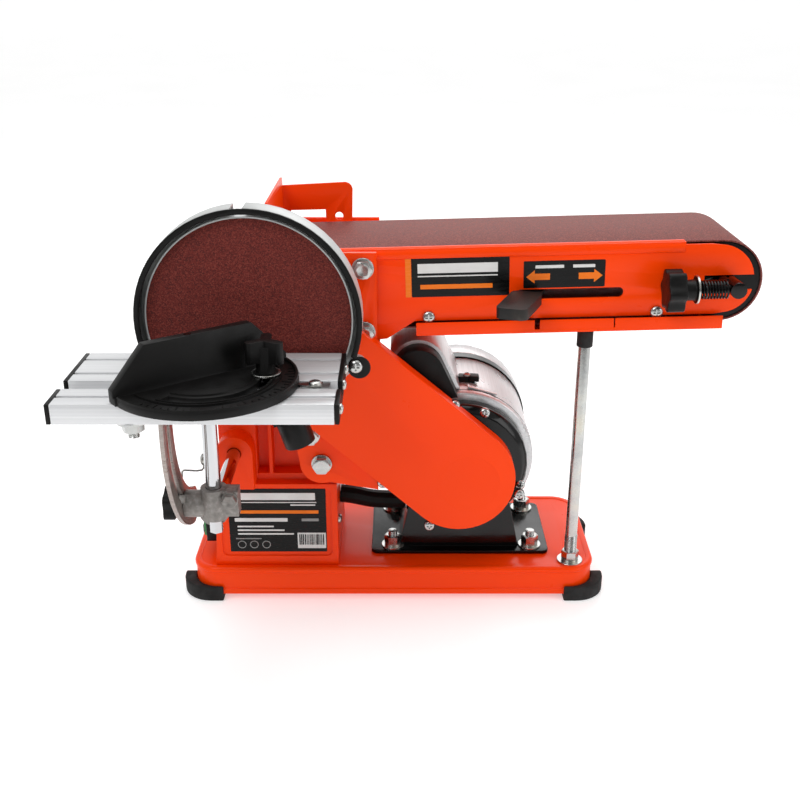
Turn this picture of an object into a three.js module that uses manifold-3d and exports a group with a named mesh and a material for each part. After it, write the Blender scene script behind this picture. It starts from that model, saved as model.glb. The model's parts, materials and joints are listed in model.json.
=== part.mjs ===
// A bench belt and disc sander, modelled in millimetres with +Z up.
// Machine frame: the drive shaft runs along +Y through (0, 0, SHAFT_Z), the disc's sanding face is the plane
// y = 0 and the floor is z = 0. The belt arm reaches to +X. The exported group moves the whole machine so
// that the origin lies at the centre of its footprint, on the floor.
import * as THREE from "three";
import { mergeVertices } from "three/addons/utils/BufferGeometryUtils.js";
import Module from "manifold-3d";

const wasm = await Module();
wasm.setup();

const degrees = THREE.MathUtils.degToRad;

// ---------------------------------------------------------------- driving dimensions
const GAP = 0.3; // between pieces that rest on each other
const SHEET = 2; // pressed steel

const SHAFT_Z = 274;
const SHAFT_RADIUS = 8;

const DISC = { radius: 75, grit: 1, plate: 7, hubRadius: 18, hubEnd: 28 };
const GUARD = { radius: 82, wall: 1.6, front: -5, back: 15, tableCut: -20, collar: 33 };
const SPOUT = { angle: -72, inner: 10, outer: 12, length: 21, y: 7 };

const PAN = { x0: -70, x1: 277, y0: 58, y1: 192, bottom: 6, top: 31, corner: 22 };
const FOOT = { proudSide: 11, proudEnd: 3.5, reach: 26, height: 14 };

const COLUMN = {
  x0: -50, x1: 56, front: 64, back: 166, wall: 5, bossFront: 55,
  boxTop: 109, upperLeft: -42, upperRight: 50, upperFront: 73, top: 228,
};
const PLATE = { front: 56, thick: 4.5, right: 91, top: 309, rearFront: 179.5 };
const PLATE_BOLTS = [[35.5, 158], [44.6, 132], [80.6, 297], [81.4, 246]];
const BEARING = { outer: 20, inner: 8.4 };

const MOTOR = { x: 161, z: 127, bellRadius: 54, radius: 61, front: 56, bellBack: 76, canBack: 172, back: 204 };
const CAPACITOR = {
  x: 124, z: 208, radius: 20.5, lowerX: 136, lowerZ: 180, lowerRadius: 21.5, front: 62, capBack: 80, back: 152,
};
const CRADLE = { x0: 84, x1: 240, y0: 82, y1: 173, thick: 3 };

const COVER = {
  front: 42, back: 54, shaftRadius: 33, motorX: 157.5, motorZ: 124, motorRadius: 45.5, lowerX: -13, lowerZ: 259,
};
const PULLEY = { drivenRadius: 27, motorRadius: 32.786, front: 44.5, back: 53 };

const ROD = { x: 257, y: 72, radius: 5, top: 234, tipRadius: 6.5, tipTop: 244.2 };

const ARM = {
  lean: 1.5, // degrees above level when it lies on its support rod
  reach: 359.6, front: 64.5, back: 175.5, beltFront: 70, beltBack: 170,
  takeUp: 8, // how far the idler moves in when the tension lever is released
};
const BELT = { radius: 32.5, thick: 1.2 };
const DRUM_RADIUS = 31;
const IDLER_AXLE_RADIUS = 5.5;
const LEVER = { x: 241, y: 140, lean: 22, z: -5.5 };
const TRACKING = {
  y: 46.5, knob: 311, hub: 324.5, washer: 333.5, block: 365.2, blockRadius: 6.2, tip: 6.5, screwRadius: 3,
};

const TABLE = {
  x0: -119.5, x1: 70, front: -103, back: -4, bottom: 236, top: 250, cap: 3,
  slotFront: -75, slotBack: -60.4, slotFloor: 240,
};
const TILT = { y: 12, z: 218, inner: 76, outer: 104, slot: 90, slotWidth: 7, x: -50, thick: 3 };
const TILT_KEY = 50; // degrees below level at which the clamp block holds the quadrant
const PROP = { x: -25, y: -49, radius: 5.5 };
const TABLE_ROD = { x: -27, z: 141, radius: 5.5, front: -38, intoColumn: 44 };

const GAUGE = { x: -21.8, y: -67.7, radius: 63, arc: 41, angle: 36.5, plate: 5, fence: 36, knobAngle: 10 };

const SWITCH = { x: -60, y0: 80, y1: 126, z0: 45, z1: 67 };
const GLAND = { x: -20, z: 52, flange: 10, body: 7.5, bore: 3.6, length: 14 };

// ---------------------------------------------------------------- solids
function solid(geometry) {
  const bare = geometry.clone();
  for (const name of Object.keys(bare.attributes)) {
    if (name !== "position") bare.deleteAttribute(name);
  }
  const merged = mergeVertices(bare, 1e-3);
  const triVerts = new Uint32Array(merged.index.array);
  const vertProperties = merged.attributes.position.array;
  const made = new wasm.Manifold(new wasm.Mesh({ numProp: 3, vertProperties, triVerts }));
  if (made.volume() > 0) return made;
  for (let i = 0; i < triVerts.length; i += 3) {
    [triVerts[i + 1], triVerts[i + 2]] = [triVerts[i + 2], triVerts[i + 1]];
  }
  return new wasm.Manifold(new wasm.Mesh({ numProp: 3, vertProperties, triVerts }));
}

const join = (first, ...rest) => rest.reduce((sum, piece) => sum.add(piece), first);
const cut = (base, ...tools) => tools.reduce((left, tool) => left.subtract(tool), base);

function box(x0, x1, y0, y1, z0, z1) {
  const geometry = new THREE.BoxGeometry(x1 - x0, y1 - y0, z1 - z0);
  return solid(geometry.translate((x0 + x1) / 2, (y0 + y1) / 2, (z0 + z1) / 2));
}

// Turns geometry made along +Y so that it runs along the named axis, through (u, v) on the other two.
function along(axis, geometry, u, v) {
  if (axis === "x") return geometry.rotateZ(-Math.PI / 2).translate(0, u, v);
  if (axis === "y") return geometry.translate(u, 0, v);
  return geometry.rotateX(Math.PI / 2).translate(u, v, 0);
}

function cylinder(axis, radius, from, to, u, v, segments = 24) {
  const geometry = new THREE.CylinderGeometry(radius, radius, to - from, segments);
  return solid(along(axis, geometry.translate(0, (from + to) / 2, 0), u, v));
}

// A turned piece: its profile is a list of [radius, place along the axis], and it closes on itself.
function turned(axis, profile, u, v, segments = 32) {
  const points = [...profile, profile[0]].map(([radius, place]) => new THREE.Vector2(radius, place));
  return solid(along(axis, new THREE.LatheGeometry(points, segments), u, v));
}

const ring = (axis, outer, inner, from, to, u, v, segments = 32) =>
  turned(axis, [[inner, from], [outer, from], [outer, to], [inner, to]], u, v, segments);

function extruded(shape, depth, curveSegments) {
  return new THREE.ExtrudeGeometry(shape, { depth, bevelEnabled: false, curveSegments });
}

// A shape drawn as (x, y), standing between two heights.
const plateXY = (shape, z0, z1, steps = 4) => solid(extruded(shape, z1 - z0, steps).translate(0, 0, z0));

// A shape drawn as (x, z), between two y values.
const plateXZ = (shape, y0, y1, steps = 4) =>
  solid(extruded(shape, y1 - y0, steps).rotateX(Math.PI / 2).translate(0, y1, 0));

// A shape drawn as (y, z), between two x values.
function plateYZ(shape, x0, x1, steps = 4) {
  const turn = new THREE.Matrix4().makeBasis(
    new THREE.Vector3(0, 1, 0),
    new THREE.Vector3(0, 0, 1),
    new THREE.Vector3(1, 0, 0),
  );
  return solid(extruded(shape, x1 - x0, steps).applyMatrix4(turn).translate(x0, 0, 0));
}

const polygon = (points) => new THREE.Shape(points.map(([a, b]) => new THREE.Vector2(a, b)));

function roundedRect(a0, b0, a1, b1, r) {
  const shape = new THREE.Shape();
  shape.absarc(a1 - r, b0 + r, r, -Math.PI / 2, 0);
  shape.absarc(a1 - r, b1 - r, r, 0, Math.PI / 2);
  shape.absarc(a0 + r, b1 - r, r, Math.PI / 2, Math.PI);
  shape.absarc(a0 + r, b0 + r, r, Math.PI, 1.5 * Math.PI);
  return shape;
}

// The outline round two circles and the straight lines that touch both.
function beltOutline([ax, ay], ra, [bx, by], rb) {
  const heading = Math.atan2(by - ay, bx - ax);
  const touch = Math.acos((ra - rb) / Math.hypot(bx - ax, by - ay));
  const shape = new THREE.Shape();
  shape.absarc(ax, ay, ra, heading + touch, heading - touch + 2 * Math.PI);
  shape.absarc(bx, by, rb, heading - touch, heading + touch);
  return shape;
}

// Part of a ring about (a, b), between two angles in degrees.
function sector(a, b, inner, outer, from, to) {
  const shape = new THREE.Shape();
  shape.absarc(a, b, outer, degrees(from), degrees(to));
  shape.absarc(a, b, inner, degrees(to), degrees(from), true);
  return shape;
}

// A knob's outline: a circle with shallow finger hollows.
function lobedOutline(radius, lobes, depth) {
  const steps = lobes * 8;
  const points = Array.from({ length: steps }, (_, i) => {
    const angle = (2 * Math.PI * i) / steps;
    const r = radius - (depth * (1 - Math.cos(lobes * angle))) / 2;
    return [r * Math.cos(angle), r * Math.sin(angle)];
  });
  return polygon(points);
}

const radial = (degreesRound, radius) => [
  radius * Math.cos(degrees(degreesRound)),
  radius * Math.sin(degrees(degreesRound)),
];

// ---------------------------------------------------------------- meshes and materials
const FINISH = {
  orange: [0xe8430a, 0.35, 0.1],
  aluminium: [0xb9bcbf, 0.4, 0.9],
  casting: [0x8d8a85, 0.6, 0.8],
  chrome: [0xc8ccd0, 0.15, 1],
  zinc: [0xb5b8ba, 0.3, 0.9],
  steel: [0x9a9c9e, 0.35, 0.9],
  blackPlastic: [0x1e1d1c, 0.45, 0],
  blackMetal: [0x19191a, 0.35, 0.4],
  rubber: [0x232322, 0.8, 0],
  discGrit: [0x6a2d2a, 0.9, 0],
  beltGrit: [0x7e4e4c, 0.9, 0],
  copper: [0x9a5a35, 0.4, 0.8],
  green: [0x1f7a3a, 0.5, 0],
  red: [0xb01a1a, 0.5, 0],
};

function piece(parent, name, made, finish) {
  const { numProp, vertProperties, triVerts } = made.getMesh();
  const indexed = new THREE.BufferGeometry();
  indexed.setAttribute("position", new THREE.BufferAttribute(vertProperties, numProp));
  indexed.setIndex(new THREE.BufferAttribute(triVerts, 1));
  const geometry = indexed.toNonIndexed();
  geometry.computeVertexNormals();
  const [color, roughness, metalness] = FINISH[finish];
  const mesh = new THREE.Mesh(geometry, new THREE.MeshStandardMaterial({ color, roughness, metalness }));
  mesh.name = name;
  parent.add(mesh);
}

function group(parent) {
  const made = new THREE.Group();
  parent.add(made);
  return made;
}

// ---------------------------------------------------------------- base
const panOutline = (grow) =>
  roundedRect(PAN.x0 - grow, PAN.y0 - grow, PAN.x1 + grow, PAN.y1 + grow, PAN.corner + grow);

function basePan() {
  const shell = cut(
    plateXY(panOutline(0), PAN.bottom, PAN.top),
    plateXY(panOutline(-SHEET), PAN.bottom - 1, PAN.top - SHEET),
  );
  return cut(shell, cylinder("z", ROD.radius + GAP, PAN.top - 5, PAN.top + 1, ROD.x, ROD.y, 16));
}

function cornerFoot(right, rear) {
  const { proudSide, proudEnd, reach, height } = FOOT;
  const outline = roundedRect(
    PAN.x0 - proudSide, PAN.y0 - proudEnd, PAN.x1 + proudSide, PAN.y1 + proudEnd, PAN.corner + proudEnd);
  const pocket = plateXY(panOutline(GAP), PAN.bottom - GAP, height + 1);
  const x = right ? PAN.x1 - reach : PAN.x0 - proudSide;
  const y = rear ? PAN.y1 - reach : PAN.y0 - proudEnd;
  const corner = box(x, x + reach + proudSide, y, y + reach + proudEnd, -1, height + 1);
  return cut(plateXY(outline, 0, height), pocket).intersect(corner);
}

function column() {
  const { x0, x1, front, back, wall, bossFront, boxTop, upperLeft, upperRight, upperFront, top } = COLUMN;
  const foot = PAN.top + GAP;
  const lower = plateXZ(polygon([[x0, foot], [x1, foot], [x1, boxTop], [x0 + 5, boxTop]]), front, back);
  const upper = box(upperLeft, upperRight, upperFront, back, boxTop - 1, top);
  const labelRecess = plateXZ(roundedRect(x0 + 6.5, 40, x1 - 5, 106, 5), front - 1, front + 1.5);
  const rodBoss = plateXZ(
    beltOutline([TABLE_ROD.x, TABLE_ROD.z], 15, [TABLE_ROD.x, boxTop - 10], 15),
    bossFront,
    upperFront + 1,
  ).intersect(box(upperLeft, upperRight, 0, back, boxTop - 0.5, top));
  const pocket = { left: -11, right: 30, rib: -1 };
  const frontPocket = cut(
    box(pocket.left, pocket.right, upperFront - 1, upperFront + 14, boxTop + 6, top - 6),
    box(pocket.rib, pocket.rib + 3, 0, upperFront + 15, boxTop, top),
  );
  const plateBosses = PLATE_BOLTS.slice(0, 2).flatMap(([x, z]) => [
    cylinder("y", 11, PLATE.front + PLATE.thick + GAP, upperFront + 1, x, z, 20),
    cylinder("y", 11, back - 1, PLATE.rearFront - GAP, x, z, 20),
  ]);
  const hollows = [
    box(x0 + 5 + wall, x1 - wall, front + wall, back - wall, foot - 1, boxTop - wall),
    box(upperLeft + wall, upperRight - wall, upperFront + 19, back - wall, boxTop - wall - 1, top - wall),
    cylinder("y", TABLE_ROD.radius + GAP, bossFront - 1, front + TABLE_ROD.intoColumn + 2, TABLE_ROD.x, TABLE_ROD.z),
    ...PLATE_BOLTS.slice(0, 2).map(([x, z]) => cylinder("y", 4 + GAP, 50, 80, x, z, 12)),
  ];
  return cut(join(lower, upper, rodBoss, ...plateBosses), labelRecess, frontPocket, ...hollows);
}

// One of the two steel cheeks that carry the drive shaft. The front one also carries the pulley cover.
function supportPlate(front) {
  const back = front + PLATE.thick;
  const outline = polygon([
    [-36, 262], [24, 150], [26.6, 133], [51, 115], [PLATE.right, 108],
    [PLATE.right, PLATE.top], [-26, PLATE.top], [-36, 292],
  ]);
  const lobe = cylinder("y", 18, front, back, ...PLATE_BOLTS[1]);
  const holes = [
    cylinder("y", BEARING.outer + GAP, front - 1, back + 1, 0, SHAFT_Z),
    ...PLATE_BOLTS.map(([x, z]) => cylinder("y", 4 + GAP, front - 1, back + 1, x, z, 12)),
  ];
  return cut(join(plateXZ(outline, front, back), lobe), ...holes);
}

const bearing = (front) =>
  turned("y", [
    [BEARING.inner, front], [BEARING.outer, front], [BEARING.outer, front + PLATE.thick],
    [BEARING.outer + 1.6, front + PLATE.thick + GAP], [BEARING.outer + 1.6, front + PLATE.thick + 1.8],
    [BEARING.inner, front + PLATE.thick + 1.8],
  ], 0, SHAFT_Z);

// ---------------------------------------------------------------- pulley drive
// The cover's outline runs round the shaft, a second place below it and the motor's pulley.
function coverSolid(grow, y0, y1) {
  const { shaftRadius, motorX, motorZ, motorRadius, lowerX, lowerZ } = COVER;
  const shaft = [[0, SHAFT_Z], shaftRadius + grow];
  const lower = [[lowerX, lowerZ], shaftRadius + grow];
  const motor = [[motorX, motorZ], motorRadius + grow];
  const span = (first, second) => plateXZ(beltOutline(...first, ...second), y0, y1, 12);
  return join(span(shaft, motor), span(lower, motor), span(lower, shaft));
}

function pulleyCover() {
  return cut(
    coverSolid(0, COVER.front, COVER.back - GAP),
    coverSolid(-1.5, COVER.front + 1.5, COVER.back + 1),
    cylinder("y", DISC.hubRadius + 2, COVER.front - 1, COVER.front + 3, 0, SHAFT_Z),
  );
}

function coverBackplate() {
  return cut(
    coverSolid(0, COVER.back, PLATE.front - GAP),
    cylinder("y", 12, COVER.back - 1, PLATE.front, 0, SHAFT_Z),
    cylinder("y", 12, COVER.back - 1, PLATE.front, MOTOR.x, MOTOR.z),
  );
}

function pulley(radius, x, z, bore) {
  const { front, back } = PULLEY;
  return turned("y", [
    [bore, front], [radius + 2, front], [radius, front + 1], [radius, back - 1],
    [radius + 2, back], [bore, back],
  ], x, z);
}

function driveBelt() {
  const inside = GAP;
  const outside = GAP + 2.5;
  const loop = (grow, y0, y1) => plateXZ(
    beltOutline([0, SHAFT_Z], PULLEY.drivenRadius + grow, [MOTOR.x, MOTOR.z], PULLEY.motorRadius + grow),
    y0, y1, 8,
  );
  const { front, back } = PULLEY;
  return cut(loop(outside, front + 1.5, back - 1.5), loop(inside, front, back));
}

// ---------------------------------------------------------------- disc and its guard
function guardShell() {
  const { radius, wall, front, back, tableCut, collar } = GUARD;
  const shell = turned("y", [
    [radius - wall, front], [radius, front], [radius, back], [collar, back],
    [collar, COVER.front - GAP], [collar - 3, COVER.front - GAP], [collar - 3, back - wall],
    [radius - wall, back - wall],
  ], 0, SHAFT_Z, 60);
  const belowTable = box(-radius - 5, 71, front - 1, -1, SHAFT_Z - radius - 5, SHAFT_Z + tableCut);
  const wearSlot = box(-9, 0, front - 1, back + 1, SHAFT_Z + 62, SHAFT_Z + radius + 1);
  const [spoutX, spoutZ] = radial(SPOUT.angle, radius);
  const spoutHole = cylinder("y", 5, -1, back - wall, spoutX, SHAFT_Z + spoutZ, 16);
  const lug = cylinder("y", 7, front, front + 10, 77, SHAFT_Z - 35, 24);
  const lugHole = cylinder("y", 2.2, front - 1, front + 11, 80, SHAFT_Z - 36, 12);
  const insideOfShell = cylinder("y", radius - wall - 0.1, front - 1, front + 10.5, 0, SHAFT_Z, 60);
  return cut(join(cut(shell, belowTable, wearSlot, spoutHole), cut(lug, insideOfShell)), lugHole);
}

function guardRim() {
  const { radius, front } = GUARD;
  return plateXZ(sector(0, SHAFT_Z, radius - 4.2, radius, -20, 194), front - 2, front - GAP, 20);
}

// The spout is made pointing straight down, then turned to lie along the guard's radius.
function dustSpout() {
  const { angle, inner, outer, length, y } = SPOUT;
  const tube = ring("z", outer, inner, -length, 0, 0, 0, 20);
  const flange = cut(box(-outer - 1, outer + 1, -y, y, -GAP, 2.5), cylinder("z", 6, -1, 4, 0, 0, 16));
  const [x, z] = radial(angle, GUARD.radius + GAP + 2.8);
  return cut(
    join(tube, flange).rotate([0, -90 - angle, 0]).translate([x, y, SHAFT_Z + z]),
    cylinder("y", GUARD.radius + GAP, -20, 40, 0, SHAFT_Z, 60),
  );
}

function discPlate() {
  const { radius, grit, plate, hubRadius, hubEnd } = DISC;
  const front = grit + GAP;
  return turned("y", [
    [0, front], [radius, front], [radius, front + plate], [hubRadius, front + plate + 1],
    [hubRadius, hubEnd], [SHAFT_RADIUS + GAP, hubEnd], [SHAFT_RADIUS + GAP, 10], [0, 10],
  ], 0, SHAFT_Z, 48);
}

// ---------------------------------------------------------------- motor
function frontBell() {
  const { x, z, bellRadius, front, bellBack } = MOTOR;
  return turned("y", [
    [6.5, front], [30, front], [34, front + 2], [bellRadius - 5, front + 3], [bellRadius, front + 8],
    [bellRadius, bellBack], [bellRadius - 5, bellBack], [bellRadius - 5, front + 9], [6.5, front + 6],
  ], x, z);
}

function rearBell() {
  const { x, z, radius, canBack, back } = MOTOR;
  const start = canBack + GAP;
  return turned("y", [
    [radius - 5, start], [radius, start], [radius, back - 10], [radius - 4, back - 3], [30, back],
    [6.5, back], [6.5, back - 5], [radius - 8, back - 9], [radius - 5, back - 14],
  ], x, z);
}

// The can, whose front edge is turned in over the bell.
function motorCan() {
  const { x, z, bellRadius, radius, bellBack, canBack } = MOTOR;
  const front = bellBack + GAP;
  return turned("y", [
    [bellRadius - 5, front], [radius - 2.5, front], [radius - 1, front + 1.5], [radius - 1, canBack],
    [radius - 4, canBack], [radius - 4, front + 3], [bellRadius - 5, front + 3],
  ], x, z, 48);
}

const motorStator = () => ring("y", MOTOR.radius - 4.4, 30, 90, 156, MOTOR.x, MOTOR.z);

function motorRotor() {
  return turned("y", [
    [0, PULLEY.front], [6, PULLEY.front], [6, 88], [29, 88], [29, 158], [6, 158], [6, 196], [0, 196],
  ], MOTOR.x, MOTOR.z);
}

function capacitorHousing(front, back, grow) {
  const { x, z, radius, lowerX, lowerZ, lowerRadius } = CAPACITOR;
  const outline = beltOutline([x, z], radius + grow, [lowerX, lowerZ], lowerRadius + grow);
  const motor = cylinder("y", MOTOR.radius + GAP, 0, 250, MOTOR.x, MOTOR.z, 48);
  return cut(plateXZ(outline, front, back, 8), motor);
}

function motorCradle() {
  const { x0, x1, y0, y1, thick } = CRADLE;
  const floor = PAN.top + GAP;
  const foot = plateXY(roundedRect(x0, y0, x1, y1, 6), floor, floor + thick);
  const saddleOutline = polygon([[108, floor + 1], [214, floor + 1], [200, 100], [122, 100]]);
  const pocketOutline = polygon([[118, floor - 1], [204, floor - 1], [198, 68], [124, 68]]);
  return cut(
    join(foot, plateXZ(saddleOutline, y0 + 9, y1 - 9)),
    cylinder("y", MOTOR.radius + GAP, 0, 250, MOTOR.x, MOTOR.z, 48),
    plateXZ(pocketOutline, y0 + 14, y1 - 14),
  );
}

function motorLead() {
  const route = new THREE.CatmullRomCurve3([
    new THREE.Vector3(COLUMN.x1 + GAP, 104, 80),
    new THREE.Vector3(66, 104, 79),
    new THREE.Vector3(84, 106, 74),
    new THREE.Vector3(100, 108, 72),
    new THREE.Vector3(114, 108, 72),
  ]);
  const section = new THREE.Shape();
  section.absarc(0, 0, 8, 0, 2 * Math.PI);
  const lead = new THREE.ExtrudeGeometry(section, { extrudePath: route, steps: 10, curveSegments: 5 });
  const cradleSide = plateXZ(polygon([[107.7, 31], [220, 31], [220, 100], [121.7, 100]]), 80, 180);
  return cut(solid(lead), cradleSide, box(0, COLUMN.x1 + GAP, 80, 130, 50, 110));
}

// ---------------------------------------------------------------- switch and support rod
function switchBox() {
  const { x, y0, y1, z0, z1 } = SWITCH;
  const body = box(x, COLUMN.x0 - GAP, y0, y1, z0, z1);
  const wells = buttonPlaces().map((y) => box(x - 1, x + 6, y - 8, y + 8, z0 + 3, z1 - 3));
  return cut(body, ...wells);
}

function cordGland() {
  const { x, z, flange, body, bore, length } = GLAND;
  const wall = COLUMN.back + GAP;
  return turned("y", [
    [bore, wall], [flange, wall], [flange, wall + 3], [body, wall + 4.5],
    [body - 1.5, wall + length], [bore, wall + length],
  ], x, z, 20);
}

const buttonPlaces = () => [SWITCH.y0 + 12, SWITCH.y1 - 12];

const switchButton = (y) =>
  box(SWITCH.x - 2.5, SWITCH.x + 2.5, y - 7.6, y + 7.6, SWITCH.z0 + 3.4, SWITCH.z1 - 3.4);

const supportRod = () => cylinder("z", ROD.radius, PAN.top - SHEET, ROD.top, ROD.x, ROD.y, 20);

function supportRodTip() {
  return turned("z", [
    [0, ROD.top + GAP], [ROD.radius + GAP, ROD.top + GAP], [ROD.radius + GAP, ROD.top - 5],
    [ROD.tipRadius, ROD.top - 5], [ROD.tipRadius, ROD.tipTop], [0, ROD.tipTop],
  ], ROD.x, ROD.y, 20);
}

// ---------------------------------------------------------------- belt arm, in its own frame on the shaft
function armSideOutline() {
  const shape = new THREE.Shape();
  shape.moveTo(-38, -12);
  shape.absarc(0, 0, 40, degrees(197), degrees(270));
  shape.lineTo(60, -42);
  shape.lineTo(98, -39);
  shape.lineTo(120, -25);
  shape.lineTo(354, -25);
  shape.absarc(ARM.reach, 0, 24, degrees(-84), 0);
  shape.absarc(ARM.reach - 4, 2, 28, 0, degrees(88));
  shape.lineTo(ARM.reach - 10, 31);
  shape.lineTo(-24, 31);
  shape.lineTo(-38, 20);
  return shape;
}

function armSide(y0, y1) {
  const slotEnd = ARM.reach - ARM.takeUp - IDLER_AXLE_RADIUS - 1;
  const axleSlot = box(slotEnd, ARM.reach + 60, y0 - 1, y1 + 1, -6, 6);
  return cut(
    plateXZ(armSideOutline(), y0, y1, 5),
    axleSlot,
    cylinder("y", BEARING.outer + 2.2, y0 - 1, y1 + 1, 0, 0),
  );
}

function armFrontPlate() {
  const side = armSide(ARM.front, ARM.front + SHEET);
  const topLip = box(4, 329, ARM.front, ARM.beltFront - 1, 31 - 0.01, 33);
  const leverSlot = plateXZ(roundedRect(199, LEVER.z - 4, 283, LEVER.z + 4, 3.9), 0, 100);
  return join(cut(side, leverSlot), topLip);
}

const armRearPlate = () => armSide(ARM.back - SHEET, ARM.back);

function armBottomCover() {
  const floorZ = -36;
  const lipTop = -25.5;
  const y0 = ARM.front - 4.5;
  const y1 = ARM.back + 4.5;
  const channel = cut(
    box(121, 361, y0, y1, floorZ, lipTop),
    box(120, 362, y0 + 1.5, y1 - 1.5, floorZ + 1.2, lipTop + 1),
  );
  return cut(
    channel,
    box(214, 218, y0 - 1, y0 + 4, floorZ + 3, lipTop + 1),
    box(276, 277, y0 - 1, y0 + 4, floorZ + 3, lipTop + 1),
  );
}

// The pressure plate under the belt's upper run, with the tension lever's pivot pin below it.
function platen() {
  const top = BELT.radius - BELT.thick - GAP;
  const y0 = ARM.front + SHEET + GAP;
  const y1 = ARM.back - SHEET - GAP;
  const plate = cut(
    box(42, 300, y0, y1, 8, top),
    box(41, 301, y0 + SHEET, y1 - SHEET, 7, top - SHEET),
    box(41, 301, y0 - 1, ARM.beltFront - 0.5, top - 1, top + 1),
  );
  return join(plate, cylinder("z", 3, LEVER.z - 4, top - 1, LEVER.x, LEVER.y, 16));
}

function sandingBelt() {
  const loop = (radius, y0, y1) =>
    plateXZ(beltOutline([0, 0], radius, [ARM.reach, 0], radius), y0, y1, 12);
  const { radius, thick } = BELT;
  return cut(
    loop(radius, ARM.beltFront, ARM.beltBack),
    loop(radius - thick, ARM.beltFront - 1, ARM.beltBack + 1),
  );
}

const drum = (x, z, bore) =>
  ring("y", DRUM_RADIUS, bore, ARM.beltFront + 1, ARM.beltBack - 1, x, z);

// The lever's own frame: it points along -Y from its pivot before it is turned.
function tensionLever() {
  const z = LEVER.z;
  const strip = box(-8, 8, -86, 0, z - 1.5, z + 1.5);
  const hub = cylinder("z", 13, z - 1.5, z + 1.5, 0, 0, 24);
  const cam = cylinder("z", 8, z - 1.5, z + 7, 4, 0, 24);
  const gripEnd = -136;
  const grip = plateXY(roundedRect(-12, gripEnd, 12, -88, 5), z - 4.2, z + 4.3);
  const neck = box(-8, 8, -90, -84, z - 1.5, z + 1.5);
  const pivotHole = cylinder("z", 3.3, z - 3, z + 9, 0, 0, 16);
  return cut(join(strip, hub, cam, grip, neck), pivotHole);
}

function idlerYoke() {
  const { reach, front, back } = ARM;
  const y0 = front + SHEET + GAP;
  const y1 = back - SHEET - GAP;
  const arm = (from, to) => box(312, reach + 8, from, to, -9, 9);
  const frame = join(
    arm(y0, y0 + 2.5),
    arm(y1 - 2.5, y1),
    box(312, 315, y0, y1, -9, 9),
    box(262, 313, LEVER.y - 6, LEVER.y + 6, -1, 7),
  );
  return cut(frame, cylinder("y", IDLER_AXLE_RADIUS + GAP, y0 - 1, y1 + 1, reach, 0, 24));
}

// The idler's axle, with a crank in front of the arm that ends in the block the tracking screw passes through.
function idlerAxle() {
  const { y, block, blockRadius, screwRadius } = TRACKING;
  const crankFront = y + 9.5;
  const crankBack = crankFront + 5;
  return cut(
    join(
      cylinder("y", IDLER_AXLE_RADIUS, crankFront, ARM.back + 4, ARM.reach, 0),
      box(ARM.reach, block, crankFront, crankBack, -5, 5),
      cylinder("y", blockRadius, y - blockRadius, crankBack, block, 0),
    ),
    cylinder("x", screwRadius + GAP, block - 2 * blockRadius, block + 2 * blockRadius, y, 0, 16),
  );
}

// The knob, its hub, its washer and its screw, along the arm.
function trackingKnob() {
  const { y, knob, hub, washer, block, tip, screwRadius } = TRACKING;
  return join(
    plateYZ(lobedOutline(17, 6, 3.5), knob, hub).translate([0, y, 0]),
    cylinder("x", 8, hub - 1, washer, y, 0),
    cylinder("x", 10.5, washer - 0.1, washer + 2, y, 0),
    cylinder("x", screwRadius, washer + 1, block + tip, y, 0, 16),
  );
}

function trackingSpring() {
  const { y, washer, block, blockRadius } = TRACKING;
  return ring("x", 7.5, 4, washer + 2 + GAP, block - blockRadius - GAP, y, 0, 20);
}

function workStop() {
  const back = ARM.back + GAP;
  const side = cut(
    plateXZ(polygon([[8, -18], [66, -18], [70, 59], [69, 62], [67, 64], [64, 65], [8, 63.5]]), back, back + SHEET),
    box(16, 46, back - 1, back + 4, 30, 42),
    cylinder("y", 3.5, back - 1, back + 4, 57.5, 36, 20),
  );
  const shaftClearance = cylinder("y", BEARING.outer + 4, back - 1, back + 4, 0, 0, 32);
  const across = box(8, 8 + SHEET, ARM.beltFront, back + 1, BELT.radius + 2.5, 70);
  const brace = box(8, 8 + SHEET, back, back + SHEET, BELT.radius, 70);
  return join(cut(side, shaftClearance), across, brace);
}

// ---------------------------------------------------------------- table
function tableOutline(grow) {
  const { front, back, bottom, top, slotFront, slotBack, slotFloor } = TABLE;
  return polygon([
    [front - grow, bottom], [back + grow, bottom], [back + grow, top], [slotBack, top],
    [slotBack, slotFloor], [slotFront, slotFloor], [slotFront, top], [front - grow, top],
  ]);
}

function tableTop() {
  const { x0, x1, cap, front, slotBack, back, bottom, top, slotFront } = TABLE;
  const body = plateYZ(tableOutline(0), x0 + cap + GAP, x1 - cap - GAP);
  const grooves = [-89, -46, -18].map((y) => box(x0, x1, y - 1.6, y + 1.6, top - 2.2, top + 1));
  const chambers = [[front + 2.5, slotFront - 2.5], [slotBack + 2.5, -34], [-31, back - 2.5]]
    .map(([y0, y1]) => box(x0, x1, y0, y1, bottom + 2.2, top - 4.5));
  return cut(body, ...grooves, ...chambers);
}

const tableEndCap = (x) => plateYZ(tableOutline(0), x, x + TABLE.cap);

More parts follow.
